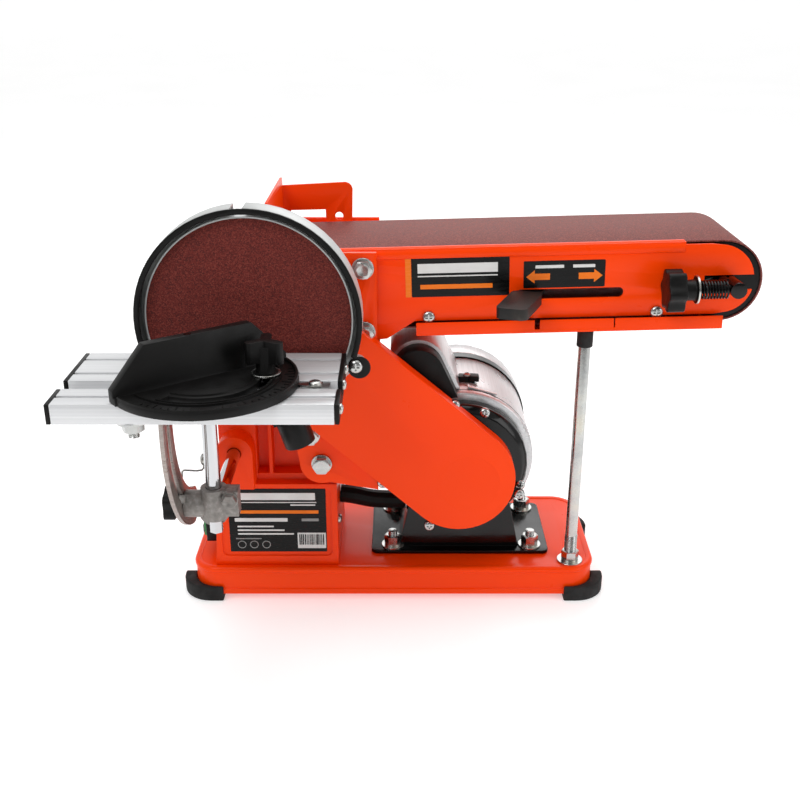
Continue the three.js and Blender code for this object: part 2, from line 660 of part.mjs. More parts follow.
// The tilt quadrant hangs from the table and turns with it about the tilt axis.
function tiltQuadrant() {
  const { y, z, inner, outer, slot, slotWidth, x, thick } = TILT;
  const plate = plateYZ(sector(y, z, inner, outer, 180 - 8, 180 + 72), x, x + thick, 9);
  const tip = cylinder("x", (outer - inner) / 2, x, x + thick,
    y - ((inner + outer) / 2) * Math.cos(degrees(72)), z - ((inner + outer) / 2) * Math.sin(degrees(72)), 24);
  const flangeTop = TABLE.bottom - GAP;
  const flange = box(x, x + 16, y - outer, y - inner + 4, flangeTop - 3, flangeTop);
  const web = box(x, x + thick, y - outer + 1, y - inner, z + 8, flangeTop - 1);
  const arcSlot = plateYZ(
    sector(y, z, slot - slotWidth / 2, slot + slotWidth / 2, 180 - 6, 180 + 61), x - 1, x + thick + 1, 9);
  return cut(join(plate, tip, flange, web), arcSlot);
}

const keyPlace = () => [
  TILT.y - TILT.slot * Math.cos(degrees(TILT_KEY)),
  TILT.z - TILT.slot * Math.sin(degrees(TILT_KEY)),
];

function clampBlock() {
  const [keyY, keyZ] = keyPlace();
  const { x, thick, y, z, slot, slotWidth } = TILT;
  const faceX = x + thick + GAP;
  const quadrantPad = cylinder("x", 10, faceX, PROP.x, keyY, keyZ);
  const half = slotWidth / 2 - GAP;
  const key = plateYZ(
    sector(y, z, slot - half, slot + half, 180 + TILT_KEY - 7, 180 + TILT_KEY + 7), x + 0.5, faceX + 2, 3);
  const propBoss = cylinder("z", 9.5, 140, 164, PROP.x, PROP.y);
  const rodBoss = cylinder("y", 10.5, -46, -18, TABLE_ROD.x, TABLE_ROD.z);
  const ear = box(PROP.x, PROP.x + 18, PROP.y - 6, PROP.y + 6, 143, 163);
  const bores = [
    cylinder("z", PROP.radius + GAP, 120, 170, PROP.x, PROP.y, 24),
    cylinder("x", 3.3, x - 5, PROP.x, keyY, keyZ, 16),
  ];
  return cut(join(quadrantPad, key, propBoss, rodBoss, ear), ...bores, rodBore());
}

const rodBore = () =>
  cylinder("y", TABLE_ROD.radius + GAP, TABLE_ROD.front - GAP, 200, TABLE_ROD.x, TABLE_ROD.z, 24);
function tableRod() {
  const { x, z, radius, front, intoColumn } = TABLE_ROD;
  return cylinder("y", radius, front, COLUMN.front + intoColumn, x, z);
}

function tableProp() {
  return join(
    cylinder("z", PROP.radius, 138, TABLE.bottom - 0.6, PROP.x, PROP.y, 24),
    cylinder("z", 5, 128, 139, PROP.x, PROP.y, 6),
  );
}

function tiltKnob() {
  const [y, z] = keyPlace();
  const face = TILT.x - GAP;
  const lobes = plateYZ(lobedOutline(13, 5, 2.5), face - 11, face - 3).translate([0, y, z]);
  return join(
    lobes,
    cylinder("x", 7, face - 4, face, y, z, 24),
    cylinder("x", 3, face - 2, PROP.x - PROP.radius - 8, y, z, 16),
  );
}

// ---------------------------------------------------------------- mitre gauge
function gaugeBar() {
  const { slotFront, slotBack, slotFloor, top } = TABLE;
  return join(
    box(-65, 62, slotFront + 0.7, slotBack - 0.7, slotFloor + GAP, top - 0.5),
    cylinder("z", 3, top - 1, top + 2.8, GAUGE.x, GAUGE.y, 16),
  );
}

// The head's own frame: the pivot is the origin and the fence lies along X, with the protractor at -Y.
function gaugeHead() {
  const { radius, arc, plate, fence } = GAUGE;
  const base = TABLE.top + GAP;
  const half = 64;
  const protractor = plateXY(sector(0, 0, 0.01, radius, 180, 360), base, base + plate, 16);
  const heel = box(-half, half, -2, 8, base, base + plate);
  const face = plateXZ(
    polygon([[-half, base], [half, base], [half, base + 9], [38, base + fence], [-40, base + fence],
      [-half, base + 9]]), 1, 8);
  const arcSlot = plateXY(sector(0, 0, arc - 3.5, arc + 3.5, 205, 344), base - 1, base + plate + 1, 10);
  const pivotHole = cylinder("z", 3 + GAP, base - 1, base + plate - 2, 0, 0, 16);
  return cut(join(protractor, heel, face), arcSlot, pivotHole);
}

function gaugeKnob() {
  const x = GAUGE.x + GAUGE.arc * Math.cos(degrees(GAUGE.knobAngle));
  const y = GAUGE.y + GAUGE.arc * Math.sin(degrees(GAUGE.knobAngle));
  const base = TABLE.top + GAUGE.plate + 2 * GAP;
  const wings = [0, 1, 2].map((i) => {
    const wing = plateXY(roundedRect(0, -3.5, 14, 3.5, 3), base + 9, base + 24);
    return wing.rotate([0, 0, 90 + 120 * i]).translate([x, y, 0]);
  });
  return join(
    cylinder("z", 8.5, base, base + 1.5, x, y, 24),
    cylinder("z", 6.5, base + 1, base + 20, x, y, 24),
    ...wings,
    cylinder("z", 2.8, TABLE.top + GAP, base + 1, x, y, 12),
  );
}

// ---------------------------------------------------------------- the machine
const machine = new THREE.Group();

function addBase(parent) {
  piece(parent, "base_pan", basePan(), "orange");
  const corners = { front_left: [false, false], front_right: [true, false],
    rear_left: [false, true], rear_right: [true, true] };
  for (const [place, [right, rear]] of Object.entries(corners)) {
    piece(parent, "foot_" + place, cornerFoot(right, rear), "rubber");
  }
  piece(parent, "column_casting", column(), "orange");
  piece(parent, "front_support_plate", supportPlate(PLATE.front), "orange");
  piece(parent, "rear_support_plate", supportPlate(PLATE.rearFront), "orange");
  piece(parent, "front_bearing", bearing(PLATE.front), "steel");
  piece(parent, "rear_bearing", bearing(PLATE.rearFront), "steel");
}

function addDrive(parent) {
  piece(parent, "pulley_cover", pulleyCover(), "orange");
  piece(parent, "cover_backplate", coverBackplate(), "orange");
  piece(parent, "drive_belt", driveBelt(), "rubber");
  piece(parent, "guard_shell", guardShell(), "aluminium");
  piece(parent, "guard_rim", guardRim(), "blackPlastic");
  piece(parent, "dust_spout", dustSpout(), "blackPlastic");
  piece(parent, "motor_can", motorCan(), "aluminium");
  piece(parent, "motor_front_bell", frontBell(), "blackMetal");
  piece(parent, "motor_rear_bell", rearBell(), "aluminium");
  piece(parent, "motor_stator", motorStator(), "copper");
  piece(parent, "capacitor_housing", capacitorHousing(CAPACITOR.capBack + GAP, CAPACITOR.back, 2.6), "aluminium");
  piece(parent, "capacitor_cap", capacitorHousing(CAPACITOR.front, CAPACITOR.capBack, 0), "blackPlastic");
  piece(parent, "motor_cradle", motorCradle(), "blackMetal");
  piece(parent, "motor_lead", motorLead(), "rubber");
}

function addControls(parent) {
  piece(parent, "switch_box", switchBox(), "blackPlastic");
  piece(parent, "cord_gland", cordGland(), "rubber");
  const [startY, stopY] = buttonPlaces();
  piece(parent, "start_button", switchButton(startY), "green");
  piece(parent, "stop_button", switchButton(stopY), "red");
  piece(parent, "support_rod", supportRod(), "zinc");
  piece(parent, "support_rod_tip", supportRodTip(), "rubber");
}

function addSpindle(parent) {
  piece(parent, "main_shaft", cylinder("y", SHAFT_RADIUS, 10 + GAP, 196, 0, SHAFT_Z), "steel");
  piece(parent, "disc_plate", discPlate(), "aluminium");
  piece(parent, "abrasive_disc", cylinder("y", DISC.radius, 0, DISC.grit, 0, SHAFT_Z, 48), "discGrit");
  piece(parent, "driven_pulley", pulley(PULLEY.drivenRadius, 0, SHAFT_Z, SHAFT_RADIUS + GAP), "aluminium");
  piece(parent, "drive_drum", drum(0, SHAFT_Z, SHAFT_RADIUS + GAP), "steel");
  piece(parent, "motor_rotor", motorRotor(), "steel");
  piece(parent, "motor_pulley", pulley(PULLEY.motorRadius, MOTOR.x, MOTOR.z, 6 + GAP), "aluminium");
}

function addArm(parent) {
  const arm = group(parent);
  arm.position.z = SHAFT_Z;
  arm.rotation.y = -degrees(ARM.lean);
  piece(arm, "arm_front_plate", armFrontPlate(), "orange");
  piece(arm, "arm_rear_plate", armRearPlate(), "orange");
  piece(arm, "arm_bottom_cover", armBottomCover(), "orange");
  piece(arm, "platen", platen(), "steel");
  piece(arm, "sanding_belt", sandingBelt(), "beltGrit");
  piece(arm, "work_stop", workStop(), "orange");
  piece(arm, "idler_drum", drum(ARM.reach, 0, IDLER_AXLE_RADIUS + GAP), "blackPlastic");
  piece(arm, "idler_axle", idlerAxle(), "steel");
  piece(arm, "idler_yoke", idlerYoke(), "blackMetal");
  piece(arm, "tracking_knob", trackingKnob(), "blackPlastic");
  piece(arm, "tracking_spring", trackingSpring(), "blackMetal");
  const lever = group(arm);
  lever.position.set(LEVER.x, LEVER.y, 0);
  lever.rotation.z = -degrees(LEVER.lean);
  piece(lever, "tension_lever", tensionLever(), "blackPlastic");
}

function addTable(parent) {
  piece(parent, "table_top", tableTop(), "aluminium");
  piece(parent, "table_cap_left", tableEndCap(TABLE.x0), "blackPlastic");
  piece(parent, "table_cap_right", tableEndCap(TABLE.x1 - TABLE.cap), "blackPlastic");
  piece(parent, "tilt_quadrant", tiltQuadrant(), "zinc");
  piece(parent, "clamp_block", clampBlock(), "casting");
  piece(parent, "table_rod", tableRod(), "chrome");
  piece(parent, "table_prop", tableProp(), "chrome");
  piece(parent, "tilt_knob", tiltKnob(), "blackPlastic");
  piece(parent, "gauge_bar", gaugeBar(), "steel");
  piece(parent, "gauge_knob", gaugeKnob(), "blackPlastic");
  const head = group(parent);
  head.position.set(GAUGE.x, GAUGE.y, 0);
  head.rotation.z = degrees(GAUGE.angle);
  piece(head, "gauge_head", gaugeHead(), "blackPlastic");
}

addBase(machine);
addDrive(machine);
addControls(machine);
addSpindle(machine);
addArm(machine);
addTable(machine);

const footprint = new THREE.Box3().setFromObject(machine, true);
machine.position.set(
  -(footprint.min.x + footprint.max.x) / 2,
  -(footprint.min.y + footprint.max.y) / 2,
  -footprint.min.z,
);

export default machine;
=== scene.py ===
"""The looks of a bench belt and disc sander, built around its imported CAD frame.

Places are in machine millimetres, as in the CAD source: the drive shaft runs along +Y through
(0, 0, SHAFT_Z), the disc's sanding face is y = 0 and the floor is z = 0. at() and arm_at() turn them
into the row frame's metres.
"""

import json
import math
import random

import bpy
from mathutils import Matrix, Vector

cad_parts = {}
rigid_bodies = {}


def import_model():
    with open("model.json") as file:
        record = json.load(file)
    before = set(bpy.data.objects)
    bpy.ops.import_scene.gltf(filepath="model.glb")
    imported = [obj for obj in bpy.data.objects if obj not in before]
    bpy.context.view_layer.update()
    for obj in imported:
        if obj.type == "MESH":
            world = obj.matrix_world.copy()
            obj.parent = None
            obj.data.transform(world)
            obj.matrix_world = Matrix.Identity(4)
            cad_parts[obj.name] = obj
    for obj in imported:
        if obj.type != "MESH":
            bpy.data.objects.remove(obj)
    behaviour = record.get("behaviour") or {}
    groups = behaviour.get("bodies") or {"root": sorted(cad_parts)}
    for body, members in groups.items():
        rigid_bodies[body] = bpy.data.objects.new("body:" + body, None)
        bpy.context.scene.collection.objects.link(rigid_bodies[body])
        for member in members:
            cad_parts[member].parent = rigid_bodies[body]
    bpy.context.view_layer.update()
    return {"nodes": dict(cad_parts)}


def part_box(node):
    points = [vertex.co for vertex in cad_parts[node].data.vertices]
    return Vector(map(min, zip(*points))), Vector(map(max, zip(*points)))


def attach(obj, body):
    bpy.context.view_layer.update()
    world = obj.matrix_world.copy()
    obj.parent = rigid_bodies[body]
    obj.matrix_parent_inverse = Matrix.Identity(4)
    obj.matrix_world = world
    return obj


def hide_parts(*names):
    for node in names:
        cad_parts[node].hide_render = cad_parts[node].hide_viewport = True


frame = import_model()

MM = 0.001
SHAFT_LOW, SHAFT_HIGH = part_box("main_shaft")
ORIGIN = Vector(((SHAFT_LOW.x + SHAFT_HIGH.x) / 2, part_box("abrasive_disc")[0].y, 0))
SHAFT_Z = (SHAFT_LOW.z + SHAFT_HIGH.z) / 2 / MM
ARM_LEAN = math.radians(1.5)

# Which way a piece's own +Z points.
FRONT = Matrix.Rotation(math.pi / 2, 4, "X")
BACK = Matrix.Rotation(-math.pi / 2, 4, "X")
RIGHT = Matrix.Rotation(math.pi / 2, 4, "Y")
LEFT = Matrix.Rotation(-math.pi / 2, 4, "Y")
UP = Matrix.Identity(4)
DOWN = Matrix.Rotation(math.pi, 4, "X")


def at(x, y, z, facing=UP):
    """A place in machine millimetres, with a piece's +Z turned to face that way."""
    return Matrix.Translation(ORIGIN + Vector((x, y, z)) * MM) @ facing


def arm_at(x, y, z, facing=UP):
    """The same in the belt arm's own frame, which leans about the shaft."""
    arm = at(0, 0, SHAFT_Z) @ Matrix.Rotation(-ARM_LEAN, 4, "Y")
    return arm @ Matrix.Translation(Vector((x, y, z)) * MM) @ facing


def in_machine(node):
    """(lowest, highest) corner of a CAD node, in machine millimetres."""
    return tuple((corner - ORIGIN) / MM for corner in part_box(node))


# ---------------------------------------------------------------- camera
CAMERA = {"place": (109, -722, 506), "pitch": 22.2, "lens": 47.1}


def add_camera():
    camera = bpy.data.objects.new("camera", bpy.data.cameras.new("camera"))
    camera.data.lens = CAMERA["lens"]
    camera.data.sensor_width = 36
    camera.data.clip_end = 100
    facing = Matrix.Rotation(math.radians(90 - CAMERA["pitch"]), 4, "X")
    camera.matrix_world = at(*CAMERA["place"], facing)
    bpy.context.scene.collection.objects.link(camera)
    bpy.context.scene.camera = camera


# ---------------------------------------------------------------- materials
def colour(code):
    """The linear colour of an sRGB hex code."""
    channels = [int(code[i : i + 2], 16) / 255 for i in (0, 2, 4)]
    return (*(c / 12.92 if c <= 0.04045 else ((c + 0.055) / 1.055) ** 2.4 for c in channels), 1)


class Finish:
    """A material around one Principled shader, with short calls for the procedural nodes it needs."""

    def __init__(self, name, base, roughness, metallic=0, **sockets):
        self.material = bpy.data.materials.new(name)
        self.material.use_nodes = True
        self.tree = self.material.node_tree
        self.shader = self.tree.nodes["Principled BSDF"]
        self.shader.inputs["Base Color"].default_value = colour(base)
        self.shader.inputs["Roughness"].default_value = roughness
        self.shader.inputs["Metallic"].default_value = metallic
        for socket, value in sockets.items():
            self.shader.inputs[socket.replace("_", " ")].default_value = value
        self.object_place = self.node("ShaderNodeTexCoord").outputs["Object"]
        self.last_bump = None

    def node(self, kind, inputs=None, **settings):
        made = self.tree.nodes.new(kind)
        for key, value in settings.items():
            setattr(made, key, value)
        for key, value in (inputs or {}).items():
            if isinstance(value, bpy.types.NodeSocket):
                self.tree.links.new(value, made.inputs[key])
            else:
                made.inputs[key].default_value = value
        return made

    def stretched(self, across):
        """Object coordinates in which a texture is drawn out along the axes with small numbers."""
        inputs = {"Vector": self.object_place, "Scale": across}
        return self.node("ShaderNodeMapping", inputs).outputs["Vector"]

    def noise(self, scale, detail=3.0, place=None):
        inputs = {"Vector": place or self.object_place, "Scale": scale, "Detail": detail}
        return self.node("ShaderNodeTexNoise", inputs).outputs["Fac"]

    def cells(self, scale, output="Color"):
        inputs = {"Vector": self.object_place, "Scale": scale}
        return self.node("ShaderNodeTexVoronoi", inputs).outputs[output]

    def spread(self, value, low, high, start=0.3, end=0.7):
        """value from start to end becomes low to high."""
        inputs = {"Value": value, "From Min": start, "From Max": end, "To Min": low, "To Max": high}
        return self.node("ShaderNodeMapRange", inputs).outputs["Result"]

    def shades(self, value, *stops):
        """A colour ramp, from (place, hex code) stops."""
        ramp = self.node("ShaderNodeValToRGB", {"Fac": value})
        elements = ramp.color_ramp.elements
        while len(elements) < len(stops):
            elements.new(1)
        for element, (place, code) in zip(elements, stops):
            element.position = place
            element.color = colour(code)
        return ramp.outputs["Color"]

    def base(self, colour_socket):
        self.tree.links.new(colour_socket, self.shader.inputs["Base Color"])
        return self

    def rough(self, value, low, high, start=0.3, end=0.7):
        self.tree.links.new(self.spread(value, low, high, start, end), self.shader.inputs["Roughness"])
        return self

    def bump(self, height, depth_mm, strength=1.0):
        """Relief of that depth. A second call adds to the first."""
        inputs = {"Height": height, "Strength": strength, "Distance": depth_mm * MM}
        if self.last_bump:
            inputs["Normal"] = self.last_bump
        self.last_bump = self.node("ShaderNodeBump", inputs).outputs["Normal"]
        self.tree.links.new(self.last_bump, self.shader.inputs["Normal"])
        return self


def orange_enamel():
    """Glossy sheet-metal enamel: fine orange peel and a slightly uneven gloss."""
    gloss = {"Specular_IOR_Level": 0.14, "Coat_Weight": 0.06, "Coat_Roughness": 0.06}
    made = Finish("orange_enamel", "FC4200", 0.3, **gloss)
    made.base(made.shades(made.noise(9, 1), (0.2, "F83F00"), (0.8, "FF4500")))
    made.rough(made.noise(45), 0.24, 0.36, 0, 1)
    return made.bump(made.noise(240, 1), 0.008).material


def orange_casting():
    """The same enamel over a sand casting, which is duller and has a pebbled skin."""
    gloss = {"Specular_IOR_Level": 0.16, "Coat_Weight": 0.06, "Coat_Roughness": 0.12}
    made = Finish("orange_casting", "F63E00", 0.36, **gloss)
    made.base(made.shades(made.noise(14, 1), (0.2, "EE3800"), (0.8, "FC4300")))
    made.rough(made.noise(60), 0.3, 0.46)
    made.bump(made.noise(120, 3), 0.12)
    return made.bump(made.noise(500, 2), 0.02).material


def extruded_aluminium():
    """Anodised extrusion, drawn along X."""
    made = Finish("extruded_aluminium", "DADBDD", 0.34, 0.4)
    streaks = made.noise(1, 4, made.stretched((3, 900, 900)))
    made.base(made.shades(streaks, (0.25, "CFD0D2"), (0.75, "E4E5E6")))
    made.rough(streaks, 0.28, 0.45)
    return made.bump(streaks, 0.03).material


def satin_aluminium():
    """Satin aluminium of the motor's and the capacitor's shells, brushed along the machine."""
    made = Finish("satin_aluminium", "D0D1D2", 0.32, 0.6)
    streaks = made.noise(1, 4, made.stretched((700, 12, 700)))
    made.base(made.shades(streaks, (0.2, "C4C5C6"), (0.8, "DCDDDE")))
    made.rough(made.noise(30), 0.26, 0.38)
    return made.bump(streaks, 0.015).material


def guard_grey():
    """Light grey hammered enamel of the pressed disc guard."""
    made = Finish("guard_grey", "B7B9B8", 0.42, 0.35)
    made.base(made.shades(made.noise(20), (0.3, "ACAEAD"), (0.7, "C0C2C1")))
    made.rough(made.noise(50), 0.36, 0.5)
    return made.bump(made.noise(500, 2), 0.05).material


def sand_cast():
    """Bare grey sand casting with a pebbled skin and rubbed high spots."""
    made = Finish("sand_cast", "8D8985", 0.5, 0.7)
    grain = made.noise(260, 5)
    made.base(made.shades(grain, (0.3, "75716D"), (0.55, "8F8B87"), (0.75, "ABA8A4")))
    made.rough(grain, 0.42, 0.62)
    made.bump(made.noise(90, 3), 0.35)
    return made.bump(grain, 0.12).material


def chrome():
    """Bright bar with faint grinding rings and handling marks."""
    made = Finish("chrome", "C9CBCD", 0.08, 1)
    made.rough(made.noise(70, 4), 0.05, 0.17)
    return made.bump(made.noise(1, 2, made.stretched((40, 40, 1400))), 0.006).material


def zinc_plate():
    """Bright zinc: blotchy gloss with a warm and a cold tint."""
    made = Finish("zinc_plate", "BFC0BD", 0.26, 1)
    made.base(made.shades(made.noise(55, 4), (0.3, "ABADAE"), (0.55, "C2C3C0"), (0.8, "CDC8BA")))
    made.rough(made.noise(120), 0.16, 0.36)
    return made.bump(made.noise(300, 2), 0.02).material


def bare_steel():
    """Ground steel with a little oil."""
    made = Finish("bare_steel", "9C9D9E", 0.32, 1)
    made.base(made.shades(made.noise(60, 4), (0.3, "88898A"), (0.7, "A9AAAB")))
    made.rough(made.noise(150), 0.24, 0.42)
    return made.bump(made.noise(1, 2, made.stretched((900, 60, 900))), 0.02).material


def quadrant_steel():
    """Pressed steel quadrant, brushed and slightly brown."""
    made = Finish("quadrant_steel", "A39A94", 0.34, 0.95)
    streaks = made.noise(1, 4, made.stretched((300, 60, 800)))
    made.base(made.shades(streaks, (0.25, "8E837D"), (0.75, "B3ABA6")))
    made.rough(streaks, 0.26, 0.44)
    return made.bump(streaks, 0.02).material


def moulded_black():
    """Black moulded plastic with a fine spark-eroded texture."""
    made = Finish("moulded_black", "0C0C0B", 0.4, 0, Specular_IOR_Level=0.2)
    made.base(made.shades(made.noise(25), (0.3, "090908"), (0.7, "100F0F")))
    made.rough(made.noise(90), 0.34, 0.5)
    return made.bump(made.noise(1300, 2), 0.06).material


def worn_black():
    """Black plastic of the lever's grip, scuffed grey and brown where hands rub it."""
    made = Finish("worn_black", "232120", 0.5, 0, Specular_IOR_Level=0.35)
    scuffs = made.noise(60, 8, made.stretched((1, 0.35, 1)))
    made.base(made.shades(scuffs, (0.45, "171615"), (0.6, "2C2825"), (0.74, "4C453F")))
    made.rough(scuffs, 0.4, 0.7)
    return made.bump(made.noise(700, 3), 0.08).material


def gloss_black():
    """Thick black enamel with an orange-peel surface."""
    made = Finish("gloss_black", "040404", 0.16, 0, Specular_IOR_Level=0.35)
    made.rough(made.noise(40), 0.1, 0.24)
    return made.bump(made.noise(260, 2), 0.06).material


def rubber():
    """Matt black rubber with a dusty bloom."""
    made = Finish("rubber", "1E1E1E", 0.7, 0, Specular_IOR_Level=0.3)
    made.base(made.shades(made.noise(70, 5), (0.35, "171717"), (0.7, "262626")))
    made.rough(made.noise(120), 0.6, 0.85)
    return made.bump(made.noise(900, 3), 0.08).material


def grit(name, grains_per_metre, dark, middle, light):
    """Bonded abrasive: single grains of uneven colour."""
    made = Finish(name, middle, 0.72, 0, Specular_IOR_Level=0.2)
    grains = made.cells(grains_per_metre)
    value = made.node("ShaderNodeSeparateColor", {"Color": grains}).outputs["Red"]
    made.base(made.shades(value, (0.05, dark), (0.5, middle), (0.97, light)))
    made.rough(value, 0.5, 0.9, 0.0, 1.0)
    made.bump(made.cells(grains_per_metre, "Distance"), 0.18, 0.8)
    return made.bump(made.noise(400, 3), 0.04).material


def windings():
    """The stator's laminations and varnished copper."""
    made = Finish("windings", "6B4A35", 0.45, 0.6)
    layers = made.noise(1, 2, made.stretched((4, 1600, 4)))
    made.base(made.shades(layers, (0.35, "4B4644"), (0.65, "8A5A38")))
    return made.bump(layers, 0.1).material


def tinted_plastic(name, code, darker):
    """Glossy coloured plastic of the switch buttons."""
    made = Finish(name, code, 0.28, 0)
    made.base(made.shades(made.noise(80), (0.3, darker), (0.7, code)))
    made.rough(made.noise(150), 0.22, 0.36)
    return made.bump(made.noise(800, 2), 0.03).material


def vinyl(name, code, worn):
    """Printed label film, with faint scratches in its gloss."""
    made = Finish(name, code, 0.24, 0, Specular_IOR_Level=0.2)
    made.base(made.shades(made.noise(30, 6), (0.3, worn), (0.6, code)))
    made.rough(made.noise(1, 5, made.stretched((60, 500, 500))), 0.16, 0.36)
    return made.bump(made.noise(400, 2), 0.01).material


ORANGE = orange_enamel()
CASTING = orange_casting()
TABLE_ALUMINIUM = extruded_aluminium()
SATIN = satin_aluminium()
GUARD_GREY = guard_grey()
SAND_CAST = sand_cast()
CHROME = chrome()
ZINC = zinc_plate()
STEEL = bare_steel()
QUADRANT = quadrant_steel()
BLACK = moulded_black()
WORN = worn_black()
GLOSS_BLACK = gloss_black()
RUBBER = rubber()
DISC_GRIT = grit("disc_grit", 1500, "4C1C19", "68241F", "843C34")
# The belt has the disc's abrasive in lighter shades all over: painted sheen, standing for the light its
# grazing face catches.
BELT_GRIT_PAINTED_SHEEN = grit("belt_grit", 1500, "5E302E", "7C4541", "9A6059")
WINDINGS = windings()
GREEN = tinted_plastic("green_plastic", "1E8A3C", "176B2E")
RED = tinted_plastic("red_plastic", "C01818", "951010")
LABEL_BLACK = vinyl("label_black", "070707", "0C0C0C")
LABEL_ORANGE = vinyl("label_orange", "F07A1A", "E56E12")
LABEL_WHITE = vinyl("label_white", "E0E0DE", "D2D2D0")
LABEL_GREY = vinyl("label_grey", "8F8F8E", "828281")

# ---------------------------------------------------------------- CAD nodes
# node: (material, width in millimetres of the rounding along its edges)
CAD_FINISHES = {
    "base_pan": (ORANGE, 3.5),
    "column_casting": (CASTING, 1.4),
    "front_support_plate": (ORANGE, 0.6),
    "rear_support_plate": (ORANGE, 0.6),
    "front_bearing": (STEEL, 0.4),
    "rear_bearing": (STEEL, 0.4),
    "pulley_cover": (ORANGE, 1.4),
    "cover_backplate": (ORANGE, 0.3),
    "drive_belt": (RUBBER, 0.4),
    "guard_shell": (GUARD_GREY, 0.5),
    "guard_rim": (BLACK, 0.6),
    "dust_spout": (BLACK, 0.5),
    "motor_can": (SATIN, 0.5),
    "motor_front_bell": (GLOSS_BLACK, 1.0),
    "motor_rear_bell": (SATIN, 1.5),
    "motor_stator": (WINDINGS, 0.4),
    "capacitor_housing": (SATIN, 0.5),
    "capacitor_cap": (BLACK, 3.5),
    "motor_cradle": (GLOSS_BLACK, 1.2),
    "motor_lead": (BLACK, 0),
    "switch_box": (BLACK, 1.0),
    "cord_gland": (RUBBER, 0.5),
    "main_shaft": (STEEL, 0.5),
    "disc_plate": (SATIN, 0.4),
    "abrasive_disc": (DISC_GRIT, 0.2),
    "driven_pulley": (SATIN, 0.3),
    "motor_pulley": (SATIN, 0.3),
    "drive_drum": (STEEL, 0.6),
    "motor_rotor": (STEEL, 0.4),
    "support_rod": (ZINC, 0.4),
    "support_rod_tip": (RUBBER, 1.0),
    "start_button": (GREEN, 0.8),
    "stop_button": (RED, 0.8),
    "arm_front_plate": (ORANGE, 0.7),
    "arm_rear_plate": (ORANGE, 0.7),
    "arm_bottom_cover": (ORANGE, 0.4),
    "platen": (STEEL, 0.5),
    # the belt's lighter grit colours carry painted sheen
    "sanding_belt": (BELT_GRIT_PAINTED_SHEEN, 0.2),
    "work_stop": (ORANGE, 0.6),
    "idler_drum": (BLACK, 0.8),
    "idler_axle": (GLOSS_BLACK, 0.8),
    "idler_yoke": (GLOSS_BLACK, 0.6),
    "tracking_knob": (BLACK, 1.2),
    "tension_lever": (WORN, 1.6),
    "table_top": (TABLE_ALUMINIUM, 0.35),
    "table_cap_left": (BLACK, 0.5),
    "table_cap_right": (BLACK, 0.5),
    "tilt_quadrant": (QUADRANT, 0.3),
    "tilt_knob": (BLACK, 1.2),
    "clamp_block": (SAND_CAST, 1.2),
    "table_rod": (CHROME, 0.6),
    "table_prop": (CHROME, 0.6),
    "gauge_bar": (STEEL, 0.3),
    "gauge_head": (BLACK, 0.9),
    "gauge_knob": (BLACK, 1.0),
}
FEET = ("foot_front_left", "foot_front_right", "foot_rear_left", "foot_rear_right")
CAD_FINISHES.update({foot: (RUBBER, 1.6) for foot in FEET})

SHARP_EDGE = math.radians(32)
WELD = 0.004
FLAT = math.radians(0.4)


def smooth_shading():
    """A node group that shades smooth but across sharp edges, and drops the imported flat normals."""
    group = bpy.data.node_groups.new("smooth_shading", "GeometryNodeTree")
    group.interface.new_socket("Geometry", in_out="INPUT", socket_type="NodeSocketGeometry")
    group.interface.new_socket("Geometry", in_out="OUTPUT", socket_type="NodeSocketGeometry")
    nodes, links = group.nodes, group.links
    start, end = nodes.new("NodeGroupInput"), nodes.new("NodeGroupOutput")
    drop = nodes.new("GeometryNodeRemoveAttribute")
    drop.inputs["Name"].default_value = "custom_normal"
    faces = nodes.new("GeometryNodeSetShadeSmooth")
    edges = nodes.new("GeometryNodeSetShadeSmooth")
    edges.domain = "EDGE"
    edges.inputs["Shade Smooth"].default_value = False
    angle = nodes.new("GeometryNodeInputMeshEdgeAngle")
    sharp = nodes.new("FunctionNodeCompare")
    sharp.inputs["B"].default_value = SHARP_EDGE
    links.new(start.outputs["Geometry"], drop.inputs["Geometry"])
    links.new(drop.outputs["Geometry"], faces.inputs["Geometry"])
    links.new(faces.outputs["Geometry"], edges.inputs["Geometry"])
    links.new(angle.outputs["Unsigned Angle"], sharp.inputs["A"])
    links.new(sharp.outputs["Result"], edges.inputs["Selection"])
    links.new(edges.outputs["Geometry"], end.inputs["Geometry"])
    return group


SMOOTH = smooth_shading()


def soften(obj, width):
    """Rounds an object's sharp edges by that many millimetres, and shades it smooth between them."""
    if width:
        weld = obj.modifiers.new("weld", "WELD")
        weld.merge_threshold = WELD * MM
        flat = obj.modifiers.new("flat_faces", "DECIMATE")
        flat.decimate_type = "DISSOLVE"
        flat.angle_limit = FLAT
        bevel = obj.modifiers.new("edges", "BEVEL")
        bevel.width = width * MM
        bevel.segments = 3 if width > 1 else 2
        bevel.limit_method = "ANGLE"
        bevel.angle_limit = SHARP_EDGE
        bevel.use_clamp_overlap = True
        bevel.miter_outer = "MITER_ARC"
    obj.modifiers.new("shading", "NODES").node_group = SMOOTH


def finish_cad_nodes():
    for name, (material, width) in CAD_FINISHES.items():
        node = frame["nodes"][name]
        node.data.materials.clear()
        node.data.materials.append(material)
        soften(node, width)


# ---------------------------------------------------------------- mesh making, in millimetres
def mesh_of(name, vertices, faces):
    mesh = bpy.data.meshes.new(name)
    mesh.from_pydata([Vector(v) for v in vertices], [], faces)
    mesh.update()
    return mesh


def rings_to_mesh(name, rings, closed=False, capped=True):
    """Joins equal rings of points in order.

    closed joins the last ring to the first, and capped closes the two ends.
    """
    sides = len(rings[0])
    vertices = [p for ring in rings for p in ring]
    faces = []
    for i in range(len(rings) if closed else len(rings) - 1):
        here, there = i * sides, (i + 1) % len(rings) * sides
        for j in range(sides):
            k = (j + 1) % sides
            faces.append((here + j, here + k, there + k, there + j))
    if capped and not closed:
        faces.append(tuple(reversed(range(sides))))
        faces.append(tuple(range(len(vertices) - sides, len(vertices))))
    return mesh_of(name, vertices, faces)


